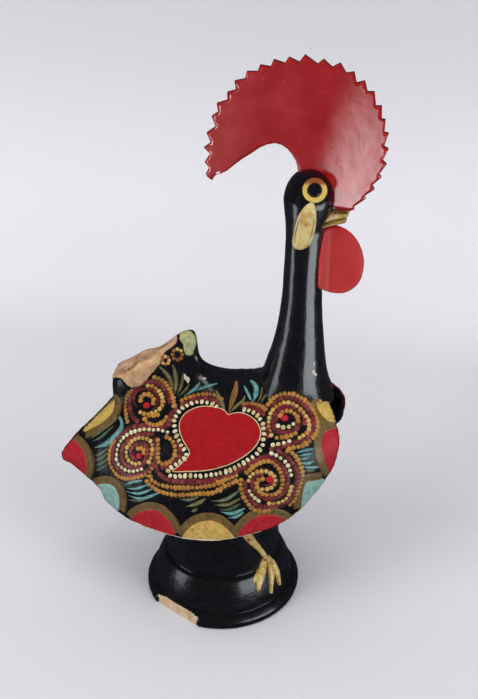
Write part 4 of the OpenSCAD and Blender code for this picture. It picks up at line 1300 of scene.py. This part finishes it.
def make_legs(tree):
    for side, sides in SIDES.items():
        heap = Heap(f"leg_{side}", LEG_PAINT, sides)
        for high, width, line in LEG_STROKES:
            stroke(heap, line, width, high, 0.8, 1.2, ends=(0.75, 0.45), tree=tree)
        obj = smoothed(fused(heap.made(), 0.5), 3)
        q = get_points(obj)
        pushed(obj, 0.3 * lumps(q, 3.2, 8, 2) + 0.12 * lumps(q, 1.2, 9, 1))
        if side == "left":
            x, y, z = get_points(obj).T
            w = math.radians(LEFT_LEG_TURN)
            set_points(obj, np.stack(
                [x * math.cos(w) - y * math.sin(w), x * math.sin(w) + y * math.cos(w), z], -1))
        piece(obj, "ochre_paint", [LEG_PAINT], f"{side}_shank", f"{side}_toes")


def make_lobes():
    for side, sides in SIDES.items():
        heap = Heap(f"ear_lobe_{side}", LOBE_PAINT, sides)
        slab(heap, LOBE, 0.7, 0.9, 0.8, dome=1.3)
        heap.finish("ochre_paint", f"{side}_ear_lobe")


make_legs(BVHTree.FromObject(pedestal, bpy.context.evaluated_depsgraph_get()))
make_lobes()

# the darker and the lighter colour of each paint
PAINTS = {
    "mustard_a": ("a9762b", "b98433"),
    "mustard_b": ("946326", "a9742c"),
    "orange": ("8c5226", "a0652f"),
    "pale": ("c0994a", "cfae66"),
    "cream": ("cfc196", "e2d8b4"),
    "cream_b": ("bda873", "d3c492"),
    "ground": ("2a1c12", "40301a"),
    "maroon_light": ("782a33", "8c3a2e"),
    "teal_light": ("628f89", "8cb5ab"),
    "olive_light": ("7f7a55", "8f9477"),
    "maroon": ("651c22", "7c2527"),
    "maroon_dark": ("4f1a22", "63202a"),
    "teal": ("3d7474", "5c938f"),
    "green": ("3d4a38", "56634a"),
    "olive": ("55502c", "6e683c"),
    "brown": ("6f4a20", "8a5f2c"),
    "band": ("5f4a24", "77602f"),
    "red": ("a51a25", "b8262f"),
    "heart_red": ("96141a", "a5181e"),
    "yellow": ("b8933f", "d2b160"),
    "line": ("c9b27c", "dccb9c"),
    "black_drop": ("101014", "1c1b20"),
    "sage": ("8f925f", "b9b985"),
    "teal_flat": ("79a49b", "98bdb1"),
    "chip": ("cfc7b6", "e6e0d2"),
}


def brushed(name, dark, light):
    flat = name in ("heart_red", "black_drop", "red", "ground")
    p = Paint("paint_" + name, coat=0 if flat else 0.15, specular=0.12 if flat else 0.35)
    cloud = p.noise(3.2, 4, rough=0.6)
    tone = p.blend(p.steps(cloud, 0.32, 0.68), dark, light)
    rubbed, fleck = p.steps(p.noise(21, 2), 0.48, 0.62), p.steps(p.noise(1.7, 5, rough=0.7), 0.6, 0.66)
    worn = p.maths("MULTIPLY", rubbed, fleck)
    p.colour(p.blend(worn, tone, "3a2a22" if name != "heart_red" else "8a1218"))
    p.rough(cloud, 0.3, 0.55)
    p.bump(p.noise(1.3, 4), 0.12, 0.7)
    p.bump(p.noise(6, 3), 0.35, 0.5)
    return p.m


# the colours that a row's dabs are drawn from, and the dabs' step, length, width and height in mm
DABS = {
    "R": (["maroon", "maroon_dark", "maroon_light"], 3.0, 3.2, 3.3, 0.38),
    "M": (["mustard_a", "mustard_a", "mustard_b"], 3.1, 3.3, 3.7, 0.5),
    "O": (["orange", "mustard_b"], 3.1, 3.4, 3.6, 0.42),
    "Y": (["pale", "pale", "mustard_a"], 3.1, 3.2, 3.3, 0.52),
    "C": (["cream", "cream", "cream_b"], 3.6, 3.1, 2.9, 0.6),
}
AHEAD = np.array([1.0, 0, 0])
LOBE_LINES = [
    pairs(302.5, 213, 299.5, 221, 297.3, 230, 296, 238, 296.3, 244),
    pairs(312.9, 212, 313, 220, 311.6, 229, 309.4, 237, 306, 243.5),
]
EYE_LINE = pairs(308.6, 203.6, 311.5, 204.2, 314.6, 203.2)
ROSETTES = [((177.5, 354.5), 4.7), ((165.6, 360.4), 3.3)]
SAGE_DAB = pairs(180.3, 333.4, 181.7, 331.4, 185.7, 330.7, 190.4, 331.4, 193.7, 334.1, 195.7, 338.1,
    196.4, 342.8, 195.1, 346.8, 193.7, 350.1, 193, 354.2, 189.7, 355.2, 185.7, 354.2, 184, 349.5,
    183, 344.1, 181, 341.4, 179.6, 338.1)
CHIPS = [
    pairs(183, 375.6, 185, 373.6, 186.4, 376.4, 189.2, 377.3, 190, 380.3, 187.9, 383.6, 186, 380.6,
        183.4, 378),
    pairs(202.2, 378.4, 204.5, 377.4, 206.6, 378.2, 204.6, 379.6),
    pairs(312.2, 371.2, 313.6, 369.6, 315.4, 372.5, 317.2, 374.6, 315.4, 376.2, 313.2, 374),
    pairs(313.5, 362.4, 314.6, 362, 315, 365, 313.9, 365.4),
]
FAR_EDGE = top_edge(np.linspace(station(9.3), station(11.6), 9))
COMB_CHIPS = [
    (1.5, pairs(215.6, 174, 218, 172.9, 220.8, 172.2)),
    (1.3, pairs(209.4, 176.8, 211.2, 178.2)),
]
BEAK_LINES = [
    ("brown", 2.4, pairs(332.4, 213.6, 338.6, 212.6, 347.6, 213.4)),
    ("orange", 1.3, pairs(335.5, 211.6, 341, 211.2, 347, 211.8)),
    ("brown", 0.8, pairs(322.5, 222.6, 334, 220.8, 346.4, 218)),
]
RIM_CREAM = [
    pairs(133, 521.8, 160, 531.8, 183, 537.8, 216, 540, 236, 537.6, 262, 531),
    pairs(288.6, 519.6, 296, 514.4, 303, 508.6, 312, 499.6),
]


def paint_bird():
    rand = random.Random(20)
    heap = {k: Heap("paint_" + k, brushed(k, *v)) for k, v in PAINTS.items()}

    def brush(colour, line, width, lift, ends=(0.15, 0.15), wave=0.0, **how):
        stroke(heap[colour], line, width, lift, ends=ends, wave=wave, rand=rand, **how)

    def dots(colours, line, *sizes, **how):
        dabs([heap[c] for c in colours], line, *sizes, rand, **how)

    for colour, arc in SCALLOPS:
        # the scallop beside the neck is on the near side alone
        where = dict(sides=NEAR if arc[0][0] > 310 and arc[0][1] < 400 else None, wing=True)
        brush("band", outward(arc, 3.2), 6.2, 0.16, (0.8, 0.8), 0.05, **where)
        brush("brown", outward(arc, 6.9), 0.8, 0.26, (0.5, 0.5), 0.15, **where)
        brush("brown", outward(arc, 0.3), 1.3, 0.3, (0.6, 0.6), 0.1, **where)
        scallop(heap["teal_flat" if colour == "teal" else colour], arc, 0.24, where["sides"])
    slab(heap["heart_red"], HEART, 0.3, 1.8)
    brush("line", HEART, 0.75, 0.42, (1, 1), 0.2, step=1.0, closed=True)
    for kind, line in ROWS:
        if kind in "MOYR" and len(line) > 3:
            brush("ground", line, 5.6 if kind == "R" else 4.8, 0.12, (0.7, 0.7), 0.06)
    for kind, line in ROWS:
        if kind == "R":
            brush("maroon", line, 3.4, 0.22, (0.5, 0.5), 0.1)
        if kind == "r":
            brush("maroon", line, 1.7, 0.3, (0.4, 0.4), 0.12)
        else:
            colours, *sizes = DABS[kind]
            dots(colours, line, *sizes)
    dots(["cream", "cream", "cream_b"], CREAM_RING, 3.75, 2.7, 3.8, 0.62, shy=0.3)
    for spot, radius in RED_DOTS:
        dab(heap["red"], seen(*spot), AHEAD, radius * 1.9, radius * 1.7, 0.8)
    for drop in BLACK_DROPS:
        slab(heap["black_drop"], drop, 0.3, 1.0)
    for colour, width, line in LEAVES:
        brush(colour, line, width, 0.34, (0.12, 0.5), 0.06, step=1.0)
        if colour == "teal" and width > 2.1:
            brush("teal_light", line, width * 0.35, 0.46, (0.1, 0.2), 0.2, step=1.0)
        if colour in ("olive", "green") and width > 2.5:
            brush("olive_light", line, width * 0.25, 0.44, (0.1, 0.2), 0.2, step=1.0)
    for (cx, cy), radius in ROSETTES:
        ring = [(cx + radius * 1.05 * math.cos(a), cy + radius * 1.15 * math.sin(a))
                for a in np.arange(8) * math.pi / 4]
        ground = [(cx + (x - cx) * 1.4, cy + (y - cy) * 1.4) for x, y in ring]
        slab(heap["ground"], ground, 0.2, 1.0, sides=NEAR)
        for x, y in ring:
            dab(heap["orange" if rand.random() < 0.6 else "pale"], seen(x, y), AHEAD, 2.9, 2.9, 0.5, NEAR)
        dab(heap["black_drop"], seen(cx, cy), AHEAD, radius, radius, 0.4, NEAR)
    slab(heap["sage"], SAGE_DAB, 0.35, 1.0, sides=NEAR, dome=0.3)
    for chip in CHIPS:
        slab(heap["chip"], chip, 0.12, 0.7, 0.3, round_off=False, sides=NEAR)
    for line in LOBE_LINES:
        brush("orange", line, 0.9, 2.1, wave=0.2, step=0.8, sink=-0.8)
    brush("line", EYE_LINE, 2.6, 0.9, (0.6, 0.6), step=0.8)
    brush("red", FAR_EDGE, 1.3, 0.35, (0.5, 0.5), 0.15, step=0.8, sides=NEAR)
    for width, line in COMB_CHIPS:
        brush("chip", line, width, 0.3, (0.5, 0.5), 0.3, step=0.6, tree=COMB_TREE, sides=NEAR)
    for colour, width, line in BEAK_LINES:
        brush(colour, line, width, 0.15, (0.4, 0.7), 0.2, step=0.6, tree=BEAK_TREE)
    for line in RIM_CREAM:
        brush("chip", line, 0.8, 0.45, (0.3, 0.3), 0.45, step=0.9, wing=True)
    for h in heap.values():
        h.finish()


def outward(arc, away):
    """An arc moved away from the rim by that many pixels."""
    p = curve(arc, np.linspace(0, 1, 24))
    along = units(np.gradient(p, axis=0))
    across = np.stack([along[:, 1], -along[:, 0]], -1)
    middle = p.mean(0)
    if np.dot(across[len(p) // 2], middle - RIM[rim_at(middle)]) < 0:
        across = -across
    return p + across * away


paint_bird()


# ------------------------------------------------------------------ stage and light
def make_stage():
    """A pale sweep: floor, a soft fold behind the rooster, and an upright sheet."""
    fold, radius, high, wide = 0.21, 0.09, 2.2, 6.0
    line = [(-wide, 0), (-1.0, 0), (fold - radius, 0)]
    for w in np.radians(np.arange(10, 91, 10)):
        line.append((fold - radius + radius * math.sin(w), radius - radius * math.cos(w)))
    line.append((fold, high))
    verts = [(x, y, z) for x in (-wide, wide) for y, z in line] + [(-wide, wide, 0), (wide, wide, 0)]
    n = len(line)
    faces = [(i, n + i, n + i + 1, i + 1) for i in range(n - 1)] + [(2, n + 2, 2 * n + 1, 2 * n)]
    obj = mesh_object("sweep", np.array(verts) / MM, faces)
    shade(obj)
    obj.data.materials.append(sweep_paper())


def sweep_paper():
    """Paper that glows faintly on the sheet's lower part, is dark in the glaze and clear from behind."""
    m = bpy.data.materials.new("sweep_paper")
    t = Nodes(m)
    z = t.node("SeparateXYZ", {0: t.node("TexCoord").outputs["Object"]}).outputs[2]
    hump = t.maths("MULTIPLY", t.steps(z, 0.0, 0.17), t.steps(z, 0.43, 0.22))
    level = t.ranged(hump, PAPER_GLOW, SHEET_GLOW)
    paper = t.node("BsdfDiffuse", {"Color": linear("d6d6da")})
    glow = t.node("Emission", {"Color": linear("e3e4ea"), "Strength": level})
    glowing = t.node("AddShader", {0: paper.outputs[0], 1: glow.outputs[0]})
    mirrored = t.node("BsdfDiffuse", {"Color": linear("3c3e43")})
    path = t.node("LightPath").outputs
    front = t.either(path["Is Camera Ray"], paper, glowing)
    front = t.either(path["Is Glossy Ray"], front, mirrored)
    behind = t.node("NewGeometry").outputs["Backfacing"]
    t.node("OutputMaterial", {0: t.either(behind, front, t.node("BsdfTransparent")).outputs[0]})
    return m


def lamp(name, where, aim, size, watts, colour=(1, 1, 1), mirrored=True, lights=True):
    """A soft window. With mirrored off it isn't seen in the glaze, with lights off it is seen only there."""
    data = bpy.data.lights.new(name, "AREA")
    data.shape = "RECTANGLE"
    data.size, data.size_y = size
    data.energy = watts
    data.color = colour
    obj = linked(name, data)
    aimed(obj, where, Vector(aim) - Vector(where))
    obj.visible_camera = False
    obj.visible_glossy = mirrored
    obj.visible_diffuse = lights
    return obj


def make_world():
    SCENE.world = bpy.data.worlds.new("world")
    t = Nodes(SCENE.world)
    sky, mirrored = (t.node("Background", {"Color": linear("e9e9ed"), "Strength": s}) for s in (0.5, 0.05))
    lit = t.either(t.node("LightPath").outputs["Is Glossy Ray"], sky, mirrored)
    t.node("OutputWorld", {0: lit.outputs[0]})


PAPER_GLOW, SHEET_GLOW = 0.02, 0.31
make_stage()
lamp("left_window", (-1.1, -1.1, 1.5), (0, 0, 0.2), (0.8, 1.2), 15, mirrored=False)
lamp("right_window", (1.2, -0.8, 1.3), (0, 0, 0.2), (0.6, 1.2), 9, mirrored=False)
lamp("overhead", (0.0, -0.3, 2.0), (0, 0, 0.2), (1.2, 1.2), 9, mirrored=False)
lamp("right_card", (0.403, -0.235, 0.09), (0.055, 0, 0.09), (0.36, 0.24), 1.2, (0.9, 0.95, 1), lights=False)
lamp("left_card", (-0.316, -0.197, 0.09), (0.055, 0, 0.09), (0.13, 0.24), 0.3, (0.9, 0.95, 1), lights=False)
low_card = lamp("low_card", (-0.41, -0.8, 0.1), (0.1, 0, 0.34), (0.18, 0.24), 3.1, lights=False)
low_card.light_linking.receiver_collection = bpy.data.collections.new("comb_alone")
low_card.light_linking.receiver_collection.objects.link(comb)
make_world()
